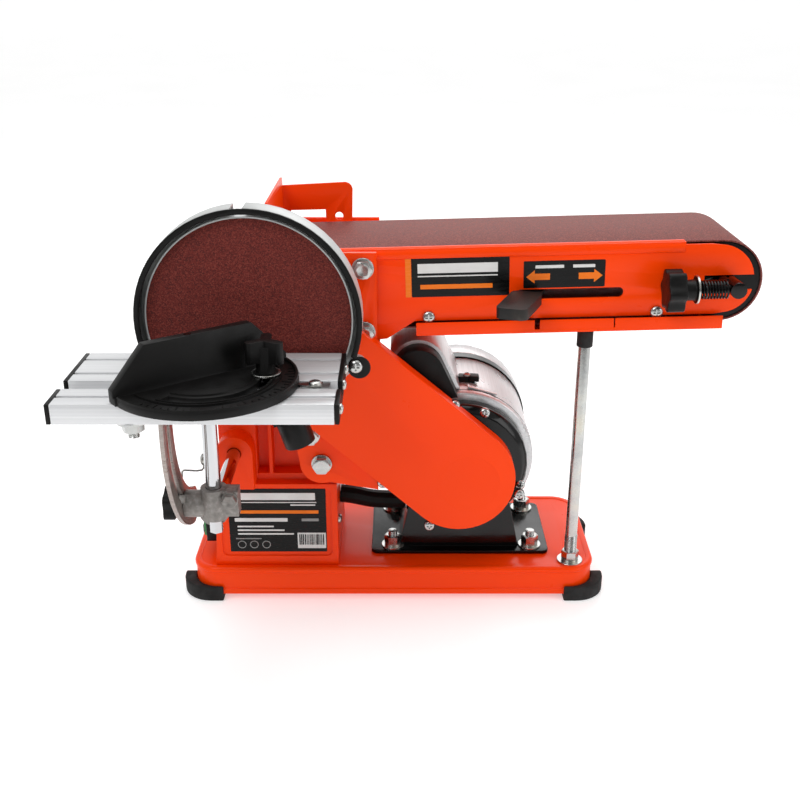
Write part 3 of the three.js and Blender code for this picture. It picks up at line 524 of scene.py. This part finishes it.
def circle(radius, z=0.0, steps=32):
    turns = (2 * math.pi * i / steps for i in range(steps))
    return [Vector((radius * math.cos(t), radius * math.sin(t), z)) for t in turns]


def turned(name, profile, steps=32):
    """A solid of revolution about Z, from (radius, z) points going up, capped at both ends."""
    return rings_to_mesh(name, [circle(r, z, steps) for r, z in profile])


def turned_ring(name, profile, steps=48):
    """A hollow solid of revolution: its profile closes on itself."""
    return rings_to_mesh(name, [circle(r, z, steps) for r, z in profile], closed=True)


def prism(name, outline, low, high, chamfer=0.0):
    """An outline of (x, y) points between two heights, drawn in at the top by the chamfer."""
    middle = Vector((sum(p[0] for p in outline), sum(p[1] for p in outline), 0)) / len(outline)

    def ring(z, inward):
        points = (Vector((*p, 0)) for p in outline)
        return [p + (middle - p).normalized() * inward + Vector((0, 0, z)) for p in points]

    rings = [ring(low, 0), ring(high - chamfer, 0)] + ([ring(high, chamfer)] if chamfer else [])
    return rings_to_mesh(name, rings)


def rounded_rect(x0, y0, x1, y1, radius, steps=5):
    """The outline of a rectangle with rounded corners, anticlockwise."""
    corners = ((x1, y0, -90), (x1, y1, 0), (x0, y1, 90), (x0, y0, 180))
    outline = []
    for x, y, start in corners:
        cx = x - radius if x == x1 else x + radius
        cy = y - radius if y == y1 else y + radius
        for i in range(steps + 1):
            turn = math.radians(start + 90 * i / steps)
            outline.append((cx + radius * math.cos(turn), cy + radius * math.sin(turn)))
    return outline


def tab(end, radius, steps=10):
    """The outline of a round-ended strip from the origin to a point."""
    lead = math.atan2(end.y, end.x)
    outline = []
    for middle, start in ((end, lead - math.pi / 2), (Vector((0, 0)), lead + math.pi / 2)):
        turns = (start + math.pi * i / steps for i in range(steps + 1))
        outline += [(middle.x + radius * math.cos(t), middle.y + radius * math.sin(t)) for t in turns]
    return outline


def swept(name, path, radius, sides=10, closed=False):
    """A round bar along a path of points."""
    rings = []
    side = None
    for i, point in enumerate(path):
        after = path[(i + 1) % len(path)] if closed or i < len(path) - 1 else point
        before = path[i - 1] if closed or i else point
        heading = (after - before).normalized()
        side = heading.orthogonal() if side is None else side - heading * side.dot(heading)
        side.normalize()
        other = heading.cross(side)
        turns = (2 * math.pi * j / sides for j in range(sides))
        rings.append([point + (side * math.cos(t) + other * math.sin(t)) * radius for t in turns])
    return rings_to_mesh(name, rings, closed=closed)


def merged(name, *meshes):
    """Several meshes as one, each a separate solid."""
    vertices, faces = [], []
    for mesh in meshes:
        first = len(vertices)
        vertices += [v.co.copy() for v in mesh.vertices]
        faces += [tuple(first + i for i in p.vertices) for p in mesh.polygons]
    return mesh_of(name, vertices, faces)


def carved(name, base, tool, operation="DIFFERENCE"):
    """base with tool cut away, or only what the two share with INTERSECT."""
    scene = bpy.context.scene.collection.objects
    work = [bpy.data.objects.new(name + "_work", mesh) for mesh in (base, tool)]
    for obj in work:
        scene.link(obj)
    cut = work[0].modifiers.new("cut", "BOOLEAN")
    cut.operation, cut.object, cut.solver = operation, work[1], "EXACT"
    made = bpy.data.meshes.new_from_object(work[0].evaluated_get(bpy.context.evaluated_depsgraph_get()))
    made.name = name
    for obj in work:
        bpy.data.objects.remove(obj)
    return made


def add(name, mesh, place, material, body, rounding=0.0):
    """Puts a mesh made in millimetres at its place, riding on a CAD body."""
    if "in_metres" not in mesh:
        mesh.transform(Matrix.Scale(MM, 4))
        mesh["in_metres"] = True
        mesh.materials.append(material)
    obj = bpy.data.objects.new(name, mesh)
    bpy.context.scene.collection.objects.link(obj)
    obj.matrix_world = place
    soften(obj, rounding)
    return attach(obj, body)


# ---------------------------------------------------------------- fasteners
def hexagon(across):
    return [(across / math.sqrt(3) * math.cos(t), across / math.sqrt(3) * math.sin(t))
            for t in (math.pi / 3 * i for i in range(6))]


def hex_head(across, height, z=0.0):
    """A hexagon whose corners are turned off, with the shallow dish of a forged head."""
    past_corner = across / math.sqrt(3) + 0.3
    top = z + height
    body = prism("hex", hexagon(across), z, top)
    blank = turned("blank", [(past_corner, z - 0.1), (past_corner, top - 1.1), (across * 0.46, top)])
    dish = turned("dish", [(across * 0.2, top - 0.5), (across * 0.34, top + 0.1)])
    return carved("hex_head", carved("hex_body", body, blank, "INTERSECT"), dish)


def thread(radius, low, high, pitch=1.25):
    """A threaded stud along Z: its surface is a helix of that pitch."""
    steps = 20
    rows = max(4, round((high - low) / pitch * 6))
    depth = pitch * 0.35
    rings = []
    for i in range(rows + 1):
        z = low + (high - low) * i / rows
        ends = 0.6 if i in (0, rows) else 0
        ring = []
        for j in range(steps):
            turn = j / steps
            phase = (z / pitch - turn) % 1
            r = radius - ends - depth * abs(2 * phase - 1)
            ring.append(Vector((r * math.cos(2 * math.pi * turn), r * math.sin(2 * math.pi * turn), z)))
        rings.append(ring)
    return rings_to_mesh("thread", rings)


def washer(outer, inner, low, high):
    edge = 0.25
    profile = [(inner, low), (outer, low), (outer, high - edge), (outer - edge, high), (inner, high)]
    return turned_ring("washer", profile)


def split_washer(outer, inner, low, high):
    """A spring lock washer with its cut ends a little apart."""
    ring = turned_ring("lock", [(inner, low), (outer, low), (outer, high), (inner, high)], 24)
    slant = [(inner - 1, -0.6), (outer + 1, -0.2), (outer + 1, 1.0), (inner - 1, 0.6)]
    gap = prism("gap", slant, low - 1, high + 1)
    return carved("split_washer", ring, gap)


def hex_bolt(across, washer_radius):
    """A bolt's head on its washer, seen from outside."""
    flat = 1.6
    return merged("hex_bolt", washer(washer_radius, 3, 0, flat), hex_head(across, across * 0.45, flat))


def nut_on_stud(across, washer_radius, stud_radius, stud_top):
    """A plain washer, a spring washer and a nut, with the stud's thread standing out of them."""
    flat, lock = 1.6, 3.4
    nut = hex_head(across, across * 0.55, lock)
    bore = turned("bore", [(stud_radius + 0.05, lock - 1), (stud_radius + 0.05, lock + across)])
    return merged(
        "nut_on_stud",
        washer(washer_radius, stud_radius, 0, flat),
        split_washer(across * 0.56, stud_radius, flat, lock),
        carved("nut", nut, bore),
        thread(stud_radius, 0.5, stud_top),
    )


def cross_screw(radius, height):
    """A pan-head screw with a cross recess."""
    turns = (math.pi / 2 * i / 6 for i in range(6))
    dome = [(radius * math.cos(t), height * (0.35 + 0.65 * math.sin(t))) for t in turns]
    head = turned("head", [(radius, 0), *dome, (radius * 0.2, height)], 28)
    reach, half = radius * 0.55, radius * 0.13
    depth = height * 0.45
    bars = [
        prism("bar", [(-reach, -half), (reach, -half), (reach, half), (-reach, half)], depth, height + 1),
        prism("bar", [(-half, -reach), (half, -reach), (half, reach), (-half, reach)], depth, height + 1),
    ]
    return carved("cross_screw", carved("slotted", head, bars[0]), bars[1])


def add_each(name, mesh, places, material, body):
    """Copies of one fastener, numbered."""
    for number, place in enumerate(places, 1):
        add(f"{name}_{number}", mesh, place, material, body)


# ---------------------------------------------------------------- base
PLATE_FACE = in_machine("front_support_plate")[0].y
# (x, z) on the front support plate, its two lowest also on the rear one
PLATE_BOLTS = ((35.5, 158), (44.6, 132), (80.6, 297), (81.4, 246))
# (x, y) on the motor cradle's flange
CRADLE_STUDS = ((102.7, 93), (224, 93), (102.7, 162), (224, 162))
CRADLE_FLANGE = 3
# (x, z) around the pulley cover, whose round end is centred on COVER_MIDDLE
COVER_SCREWS = ((133.7, 76.3), (207.8, 105.9), (152.7, 185.6), (94.8, 115.8))
COVER_MIDDLE = Vector((157.5, 124))
COVER_LUG = {"reach": 14, "radius": 4.6, "top": 1.4}


def add_base_fasteners():
    def zinc(name, mesh, places):
        add_each(name, mesh, places, ZINC, "base")

    zinc("plate_bolt", hex_bolt(13, 8.5), [at(x, PLATE_FACE, z, FRONT) for x, z in PLATE_BOLTS])
    rear_face = in_machine("rear_support_plate")[1].y
    zinc("rear_plate_bolt", hex_bolt(13, 8.5), [at(x, rear_face, z, BACK) for x, z in PLATE_BOLTS[:2]])
    flange_top = in_machine("motor_cradle")[0].z + CRADLE_FLANGE
    zinc("cradle_nut", nut_on_stud(13, 10, 4, 15), [at(x, y, flange_top) for x, y in CRADLE_STUDS])
    low, high = in_machine("support_rod")
    pan_top = in_machine("base_pan")[1].z
    rod_foot = at((low.x + high.x) / 2, (low.y + high.y) / 2, pan_top)
    add("rod_nut", nut_on_stud(13, 11, 5.4, 26), rod_foot, ZINC, "base")
    column_right = in_machine("column_casting")[1].x
    add("earth_screw", cross_screw(4, 3), at(column_right, 76, 70, RIGHT), ZINC, "base")
    back = in_machine("cover_backplate")[0].y
    lug_face = back - COVER_LUG["top"]
    zinc("cover_screw", cross_screw(4.2, 3), [at(x, lug_face, z, FRONT) for x, z in COVER_SCREWS])
    for number, (x, z) in enumerate(COVER_SCREWS, 1):
        inward = (COVER_MIDDLE - Vector((x, z))).normalized() * COVER_LUG["reach"]
        lug = prism("lug", tab(inward, COVER_LUG["radius"]), 0.2, COVER_LUG["top"])
        add(f"cover_lug_{number}", lug, at(x, back, z, FRONT), BLACK, "base", 0.3)


PAN_CORNER = 22


def add_pan_edges():
    """The rolled upper edge of the pan and the folded hem along the bottom of its skirt.

    Their sections are (distance out from the skirt, z).
    """
    low, high = in_machine("base_pan")

    def edge(name, section):
        rings = []
        for grow, z in section:
            sides = (low.x - grow, low.y - grow, high.x + grow, high.y + grow)
            rings.append([Vector((x, y, z)) for x, y in rounded_rect(*sides, PAN_CORNER + grow, 10)])
        add(name, rings_to_mesh(name, rings, closed=True), at(0, 0, 0), ORANGE, "base")

    roll = [(-5, 30.6), (-4.4, 31.4), (-2.4, 31.8), (-0.9, 31.7), (0.1, 31.2), (0.8, 30.2), (1, 28.9)]
    edge("pan_roll", [*roll, (0.9, 27.6), (-0.3, 26.4)])
    edge("pan_hem", [(-0.4, 6), (0.7, 6), (1.2, 6.7), (1.2, 9.6), (0.9, 10.8), (-0.4, 11.6)])


def add_cover_emboss():
    """A shallow round swelling on the pulley cover, over the motor's pulley."""
    low, _ = in_machine("pulley_cover")
    swelling = turned("cover_emboss", [(28, -0.2), (24, 0.04), (17, 0.28), (4, 0.4)], 64)
    add("cover_emboss", swelling, at(166, low.y, 120, FRONT), ORANGE, "base")


BELL_BOLT_TURNS = (71, 161, 251, 341)  # degrees anticlockwise from +X, seen from the front
CLIP = {"lean": 86, "y": 104}
STRAP = {"lean": 74, "behind_can_front": 11}


def add_motor_trim():
    """The can's black joint band, a thin black ring as painted shade for its groove, the bell's through
    bolts, the lead's clip and a strap.
    """
    low, high = in_machine("motor_can")
    x, z, radius = (low.x + high.x) / 2, (low.z + high.z) / 2, (high.x - low.x) / 2
    inside = radius - 0.5

    def on_can(lean, y, height=0.0):
        """A place on the can, lean degrees up from +X, with +Z pointing straight out of it."""
        turn = math.radians(lean)
        reach = radius + height
        facing = Matrix.Rotation(math.pi / 2 - turn, 4, "Y")
        return at(x + reach * math.cos(turn), y, z + reach * math.sin(turn), facing)

    band = [(inside, 0), (radius + 1.4, 0.6), (radius + 1.4, 11.4), (inside, 12)]
    add("motor_band", turned_ring("band", band, 64), at(x, high.y - 13, z, BACK), GLOSS_BLACK, "base")
    # The groove is a thin gloss-black ring standing on the can: painted shade of a groove, not a cut.
    groove = [(inside, 0), (radius + 0.15, 0), (radius + 0.15, 0.9), (inside, 0.9)]
    add("motor_groove_painted_shade", turned_ring("groove", groove, 64), at(x, low.y + 6, z, BACK), GLOSS_BLACK, "base")
    bell_low, bell_high = in_machine("motor_front_bell")
    reach = (bell_high.x - bell_low.x) / 2 - 3
    turns = [math.radians(turn) for turn in BELL_BOLT_TURNS]
    bell_rim = bell_low.y + 5.5
    places = [at(x + reach * math.cos(t), bell_rim, z + reach * math.sin(t), FRONT) for t in turns]
    add_each("motor_bolt", cross_screw(4.4, 3.6), places, ZINC, "base")
    clip = merged(
        "clip",
        prism("foot", rounded_rect(-7, -5, 7, 5, 1.5), 0, 5, 0.8),
        prism("tongue", rounded_rect(2, -6.5, 10, 3, 1), 2, 6.5, 0.8),
    )
    clip_place = on_can(CLIP["lean"], CLIP["y"], -0.4)
    add("lead_clip", clip, clip_place, BLACK, "base", 0.4)
    screw_place = on_can(CLIP["lean"], CLIP["y"], 4.4)
    add("lead_clip_screw", cross_screw(3.2, 2.6), screw_place, ZINC, "base")
    strap = prism("strap", rounded_rect(-13, -3.5, 13, 3.5, 1.5), 0, 1)
    strap_place = on_can(STRAP["lean"], low.y + STRAP["behind_can_front"])
    add("capacitor_strap", strap, strap_place, SATIN, "base", 0.3)


def add_guard_screw():
    """The screw at the guard's right, in its black lug."""
    x, z = 76.8, SHAFT_Z - 33.4
    face = in_machine("guard_shell")[0].y
    lug = turned("guard_lug", [(8.4, -0.2), (8.4, 1), (7.8, 1.5), (1, 1.5)], 32)
    add("guard_lug", lug, at(x + 2.4, face, z - 1.4, FRONT), BLACK, "base")
    add("guard_screw", cross_screw(5, 3.5), at(x, face - 1.4, z, FRONT), ZINC, "base")


def add_disc_edge():
    """The bright turned edge of the face disc around its abrasive sheet."""
    low, high = in_machine("abrasive_disc")
    radius = (high.x - low.x) / 2
    section = [(radius - 0.9, 0), (radius - 0.9, 0.35), (radius + 0.1, 0.35), (radius + 0.3, 0)]
    edge = turned_ring("edge", section, 96)
    place = at((low.x + high.x) / 2, low.y + 0.05, (low.z + high.z) / 2, FRONT)
    add("disc_edge", edge, place, GUARD_GREY, "spindle")


# ---------------------------------------------------------------- labels
FILM = 0.25  # thickness of one layer
LABEL_FACE = 65.5  # y of the floor of the column's label recess
ARM_FACE = 64.5  # y of the arm's front


def panel(name, place, x0, z0, x1, z1, material, body, slot, level=0, corner=0.8):
    """A flat piece of printed film in the plane of place, whose own Y is the panel's height."""
    film = prism(name, rounded_rect(x0, z0, x1, z1, corner, 3), FILM * level, FILM * (level + 1))
    return add(name, film, place, material, body)


def arrow(name, place, tip, height, direction, body):
    """A block arrow, tip first."""
    tx, tz = tip
    half, shaft, head, length = height / 2, height * 0.24, height * 0.62, height * 1.75
    outline = [(0, 0), (-head, half), (-head, shaft), (-length, shaft)]
    outline += [(-length, -shaft), (-head, -shaft), (-head, -half)]
    points = [(tx + direction * x, tz + z) for x, z in outline]
    film = prism(name, points if direction > 0 else points[::-1], FILM, 2 * FILM)
    return add(name, film, place, LABEL_ORANGE, body)


def add_column_label():
    """A plain rating plate: a heading line, a rule, lines of print as bars, and a striped stock mark."""
    place = at(0, LABEL_FACE, 0, FRONT)
    x0, x1, z0, z1 = -36.8, 46.2, 43.5, 104
    panel("rating_plate", place, x0, z0, x1, z1, LABEL_BLACK, "base", "black_plastic", corner=0.6)
    bars = (
        ("heading", x0 + 11, x1 - 9, z1 - 10.5, 6.6, LABEL_WHITE),
        ("rule", x0 + 11, x1 - 8, z1 - 13.2, 0.8, LABEL_WHITE),
        ("subheading", x1 - 30, x1 - 9, z1 - 15.9, 1.2, LABEL_WHITE),
        ("type_line", x0 + 10, x1 - 6.5, z1 - 23.4, 3.0, LABEL_ORANGE),
        ("line_1", x0 + 5, x0 + 50, z1 - 31.2, 3.4, LABEL_WHITE),
        ("line_2", x1 - 21, x1 - 6.5, z1 - 30.8, 2.6, LABEL_GREY),
        ("line_3", x0 + 7, x0 + 38, z1 - 36.6, 1.4, LABEL_WHITE),
        ("line_4", x0 + 7, x0 + 47, z1 - 40.2, 1.4, LABEL_WHITE),
        ("line_5", x0 + 7, x0 + 55, z1 - 43.8, 1.4, LABEL_WHITE),
        ("line_6", x0 + 5, x0 + 27, z1 - 48.2, 1.0, LABEL_GREY),
    )
    for name, left, right, bottom, height, material in bars:
        edges = (left, bottom, right, bottom + height)
        panel("plate_" + name, place, *edges, material, "base", "black_plastic", 1, 0.3)
    for number in range(3):
        mark = turned_ring("mark", [(3, FILM), (3.7, FILM), (3.7, 2 * FILM), (3, 2 * FILM)], 24)
        middle = Matrix.Translation(Vector((x0 + 10 + 10.5 * number, z0 + 7, 0)) * MM)
        add(f"plate_mark_{number + 1}", mark, place @ middle, LABEL_GREY, "base")
    patch = (x1 - 25, z0 + 3.5, x1 - 0.8, z0 + 18.5)
    panel("plate_patch", place, *patch, LABEL_WHITE, "base", "black_plastic", 1, 0.2)
    pick = random.Random(5)
    stripes = []
    left = patch[0] + 1.5
    while left < patch[2] - 2:
        width = pick.choice((0.35, 0.55, 0.9))
        stripe = rounded_rect(left, z0 + 7, left + width, z0 + 17, 0.05, 1)
        stripes.append(prism("stripe", stripe, 2 * FILM, 3 * FILM))
        left += width + pick.choice((0.4, 0.6, 0.9))
    add("plate_stripes", merged("plate_stripes", *stripes), place, LABEL_BLACK, "base")


def add_arm_labels():
    """Two plain plates on the arm: one with an orange strip, one with the belt-tension arrows."""
    place = arm_at(0, ARM_FACE, 0, FRONT)

    def plate(name, *edges):
        panel(name, place, *edges, LABEL_BLACK, "arm", "black_plastic")

    def white(name, *edges, corner=0.3):
        panel(name, place, *edges, LABEL_WHITE, "arm", "black_plastic", 1, corner)

    plate("arm_plate", 118.2, -5.5, 194, 26)
    panel("arm_plate_strip", place, 113.5, -5.5, 118, 26, LABEL_ORANGE, "arm", "orange_paint")
    white("arm_plate_heading", 123, 13.5, 185, 21)
    white("arm_plate_rule", 123, 10.6, 185, 11.5, corner=0.2)
    panel("arm_plate_line", place, 125, 0.8, 181, 4.4, LABEL_ORANGE, "arm", "orange_paint", 1, 0.3)
    plate("tension_plate", 205, -0.5, 268, 21)
    arrow("tension_arrow_left", place, (207, 8.5), 10.5, -1, "arm")
    arrow("tension_arrow_right", place, (266, 8.5), 10.5, 1, "arm")
    for name, left, right in (("left", 214, 236), ("right", 243, 260)):
        white(f"tension_line_{name}", left, 15.2, right, 17.6)


# ---------------------------------------------------------------- belt arm
ARM_SCREWS = ((131, -22), (309.5, -22.4))


def add_arm_fasteners():
    back = in_machine("arm_rear_plate")[1].y
    for name, face, facing in (("arm_screw", ARM_FACE, FRONT), ("arm_rear_screw", back, BACK)):
        places = [arm_at(x, face, z, facing) for x, z in ARM_SCREWS]
        add_each(name, cross_screw(5, 3.2), places, ZINC, "arm")


def add_arm_lip():
    """The rolled upper edge of the arm's front plate, from (y, z) points in the arm's frame."""
    left, right = 62, 329
    section = [(64.6, 25), (63.6, 25.6), (63.3, 27), (63.4, 29.2), (64.1, 31.4), (65.4, 33)]
    section += [(67.2, 33.8), (69.2, 33.9), (69.2, 33.1), (64.6, 31.2)]
    rings = [[Vector((x, y, z)) for y, z in section] for x in (left, right - 0.8)]
    # The end is drawn in a little towards its middle.
    rings.append([Vector((right, y + 0.3 * (66.5 - y), z + 0.3 * (30 - z))) for y, z in section])
    add("arm_lip", rings_to_mesh("arm_lip", rings), arm_at(0, 0, 0), ORANGE, "arm")


def add_tracking_spring():
    """The tracking screw's coil spring, in place of its plain tube."""
    low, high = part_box("tracking_spring")
    middle = (low + high) / 2
    length = (high.x - low.x) / MM - 1
    turns, steps, wire, radius = 9, 20, 0.85, 6.6
    count = turns * steps
    path = []
    for i in range(count + 1):
        turn = 2 * math.pi * i / steps
        along = -length / 2 + wire + (length - 2 * wire) * i / count
        path.append(Vector((radius * math.cos(turn), radius * math.sin(turn), along)))
    place = Matrix.Translation(middle) @ Matrix.Rotation(-ARM_LEAN, 4, "Y") @ RIGHT
    spring = swept("coil", path, wire, 8)
    coil = add("tracking_coil", spring, place, GLOSS_BLACK, "idler_carriage")
    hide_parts("tracking_spring")


def add_tracking_trim():
    """The bright washer between the knob's hub and the spring."""
    low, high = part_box("tracking_spring")
    middle = (low + high) / 2
    spring_start = Matrix.Translation(Vector((low.x, middle.y, middle.z)))
    place = spring_start @ Matrix.Rotation(-ARM_LEAN, 4, "Y") @ RIGHT
    rim = turned_ring("rim", [(10.2, -1.9), (11, -1.7), (11, -0.4), (10.2, -0.2)], 40)
    add("tracking_washer", rim, place, ZINC, "tracking")


# ---------------------------------------------------------------- table
CAP_SCREW_YS = (-95, -52, -22)
CAP_SCREW_Z = 244


def add_table_trim():
    bottom = in_machine("table_top")[0].z
    head = (washer(10.5, 3.8, 0, 2), hex_head(13, 6.5, 2), thread(3.8, 7, 13))
    bolt = merged("table_bolt", *head)
    add("table_bolt", bolt, at(-66, -93, bottom, DOWN), ZINC, "table")
    add("table_bolt_rear", bolt, at(-66, -18, bottom, DOWN), ZINC, "table")
    right, left = in_machine("table_cap_right")[1].x, in_machine("table_cap_left")[0].x
    for name, x, facing in (("cap_screw", right, RIGHT), ("cap_screw_left", left, LEFT)):
        places = [at(x, y, CAP_SCREW_Z, facing) for y in CAP_SCREW_YS]
        add_each(name, cross_screw(3.6, 2.4), places, ZINC, "table")


def add_clamp_trim():
    """The clamp bolt through the block's ear, and the wire pointer with its screw over the quadrant."""
    bolt_place = at(-12.8, -55, 157, FRONT)
    add("clamp_bolt", hex_bolt(9.5, 6), bolt_place, SAND_CAST, "table_carrier")
    bracket = prism("pointer_bracket", rounded_rect(-4, -3, 4, 20, 3), 0, 1.4, 0.3)
    bracket_place = at(-31, -35, 164, LEFT @ Matrix.Rotation(math.pi / 2, 4, "Z"))
    add("pointer_bracket", bracket, bracket_place, BLACK, "table_carrier")
    screw_place = at(-32.4, -36, 179.7, LEFT)
    add("pointer_screw", cross_screw(4.4, 3.5), screw_place, ZINC, "table_carrier")
    bends = [(-33.2, -37.5, 176.7), (-33.4, -38, 173.8), (-34.6, -38.2, 172.2), (-38, -38.8, 171.8)]
    bends += [(-47.4, -39.8, 172.8), (-48.9, -40, 171.4), (-49.1, -40, 167.1)]
    wire = swept("tilt_pointer", [Vector(bend) for bend in bends], 0.7, 8)
    add("tilt_pointer", wire, at(0, 0, 0), ZINC, "table_carrier")


GAUGE_PIVOT = Vector((-21.8, -67.7))
GAUGE_TURN = Matrix.Rotation(math.radians(36.5), 4, "Z")
GAUGE_PLATE = 5
# inner radius, outer radius, height, first and last degree of each raised arc on the protractor
GAUGE_RIMS = (
    (60.6, 62.8, 1.6, 182, 358),
    (50, 51.5, 1.3, 184, 356),
    (46.2, 47.6, 1.0, 203, 337),
    (33.2, 34.4, 1.0, 203, 337),
)


def raised_arc(inner, outer, height, start, end):
    steps = 48
    rings = []
    for i in range(steps + 1):
        t = math.radians(start + (end - start) * i / steps)
        across = [(inner, 0), (inner + 0.3, height), (outer - 0.3, height), (outer, 0)]
        rings.append([Vector((r * math.cos(t), r * math.sin(t), h)) for r, h in across])
    return rings_to_mesh("arc", rings)


def scale_ticks(outer):
    """A tick for every five degrees of the protractor, each third one longer."""
    ticks = []
    for i in range(-14, 15):
        inner = outer - (7 if i % 3 == 0 else 4.2)
        t = math.radians(270 + i * 5)
        along = Vector((math.cos(t), math.sin(t)))
        side = Vector((-math.sin(t), math.cos(t))) * 0.3
        corners = (along * outer - side, along * outer + side, along * inner + side, along * inner - side)
        ticks.append(prism("tick", corners, -0.1, 0.45))
    return merged("gauge_scale", *ticks)


def add_gauge_details():
    """The protractor's rims and scale, a flat gloss-black disc as painted shade for the fence's hole, the
    knob's washer and the bar's pointer.
    """
    knob_low, knob_high = in_machine("gauge_knob")
    plate_top = knob_low.z + GAUGE_PLATE
    head = at(GAUGE_PIVOT.x, GAUGE_PIVOT.y, plate_top, GAUGE_TURN)
    rims = merged("rims", *(raised_arc(*rim) for rim in GAUGE_RIMS))
    add("gauge_rims", rims, head, BLACK, "gauge")
    add("gauge_scale", scale_ticks(60.2), head, BLACK, "gauge")
    knob_x, knob_y = (knob_low.x + knob_high.x) / 2 - 0.05, (knob_low.y + knob_high.y) / 2 - 2.5
    under_knob = at(knob_x, knob_y, plate_top + 0.35)
    add("gauge_washer", washer(10.2, 8.6, 0, 1.2), under_knob, ZINC, "gauge_lock")
    # The fence's hole is a flat gloss-black disc on its top: painted shade of a hole.
    hole = turned("gauge_hole_painted_shade", [(2.6, 0), (2.6, 0.15), (2.2, 0.2)], 20)
    fence_height = in_machine("gauge_head")[1].z - plate_top
    on_fence = head @ Matrix.Translation(Vector((-8, 4.5, fence_height)) * MM)
    add("gauge_hole_painted_shade", hole, on_fence, GLOSS_BLACK, "gauge")
    bar_top = in_machine("table_top")[1].z - 0.5
    pointer = prism("pointer", [(-14, 0), (0, -4.6), (7, -4), (7, 4), (0, 4.6)], 0.2, 1.2)
    add("gauge_pointer", pointer, at(50, GAUGE_PIVOT.y, bar_top), ZINC, "gauge_slider")
    screw_place = at(52, GAUGE_PIVOT.y, bar_top + 1.2)
    add("gauge_pointer_screw", cross_screw(4.4, 2.6), screw_place, ZINC, "gauge_slider")


# ---------------------------------------------------------------- stage
LAMPS = (  # name, place in metres, size in metres, watts
    ("key", (-0.9, -1.2, 1.7), 1.0, 15),
    ("fill", (1.6, -0.8, 0.9), 1.0, 7),
    ("top", (0.1, 0.3, 1.9), 1.4, 12),
    ("back", (0.3, 1.7, 1.2), 1.2, 6),
)
LAMP_TARGET = Vector((0, 0, 0.15))
FLOOR_RADIUS = 40
GLOW_FRONT, GLOW_BACK = 0.18, 1.0  # the world's strength before and behind the machine


def add_floor():
    glow = {"Emission_Color": (1, 1, 1, 1), "Emission_Strength": 0.42}
    made = Finish("floor", "E6E6E6", 0.4, 0, Specular_IOR_Level=0.3, **glow)
    made.rough(made.noise(3), 0.36, 0.44)
    slab = rings_to_mesh("floor", [circle(FLOOR_RADIUS, -0.004, 64), circle(FLOOR_RADIUS, 0, 64)])
    floor = bpy.data.objects.new("floor", slab)
    floor.data.materials.append(made.material)
    bpy.context.scene.collection.objects.link(floor)


def add_world():
    """White all round, and dimmer on the camera's side."""
    world = bpy.data.worlds.new("studio")
    world.use_nodes = True
    nodes, links = world.node_tree.nodes, world.node_tree.links
    direction = nodes.new("ShaderNodeTexCoord").outputs["Generated"]
    split = nodes.new("ShaderNodeSeparateXYZ")
    glow = nodes.new("ShaderNodeMapRange")
    span = {"From Min": -1, "From Max": 1, "To Min": GLOW_FRONT, "To Max": GLOW_BACK}
    for socket, value in span.items():
        glow.inputs[socket].default_value = value
    links.new(direction, split.inputs["Vector"])
    links.new(split.outputs["Y"], glow.inputs["Value"])
    background = nodes["Background"]
    background.inputs["Color"].default_value = (1, 1, 1, 1)
    links.new(glow.outputs["Result"], background.inputs["Strength"])
    bpy.context.scene.world = world
    bpy.context.scene.view_settings.view_transform = "Standard"


def add_lamps():
    for name, place, size, power in LAMPS:
        lamp = bpy.data.objects.new(name, bpy.data.lights.new(name, "AREA"))
        lamp.data.size = size
        lamp.data.energy = power
        lamp.location = place
        aim = LAMP_TARGET - lamp.location
        lamp.rotation_euler = aim.to_track_quat("-Z", "Y").to_euler()
        bpy.context.scene.collection.objects.link(lamp)


add_camera()
finish_cad_nodes()
add_base_fasteners()
add_pan_edges()
add_cover_emboss()
add_motor_trim()
add_guard_screw()
add_disc_edge()
add_column_label()
add_arm_labels()
add_arm_fasteners()
add_arm_lip()
add_tracking_spring()
add_tracking_trim()
add_table_trim()
add_clamp_trim()
add_gauge_details()
add_floor()
add_world()
add_lamps()
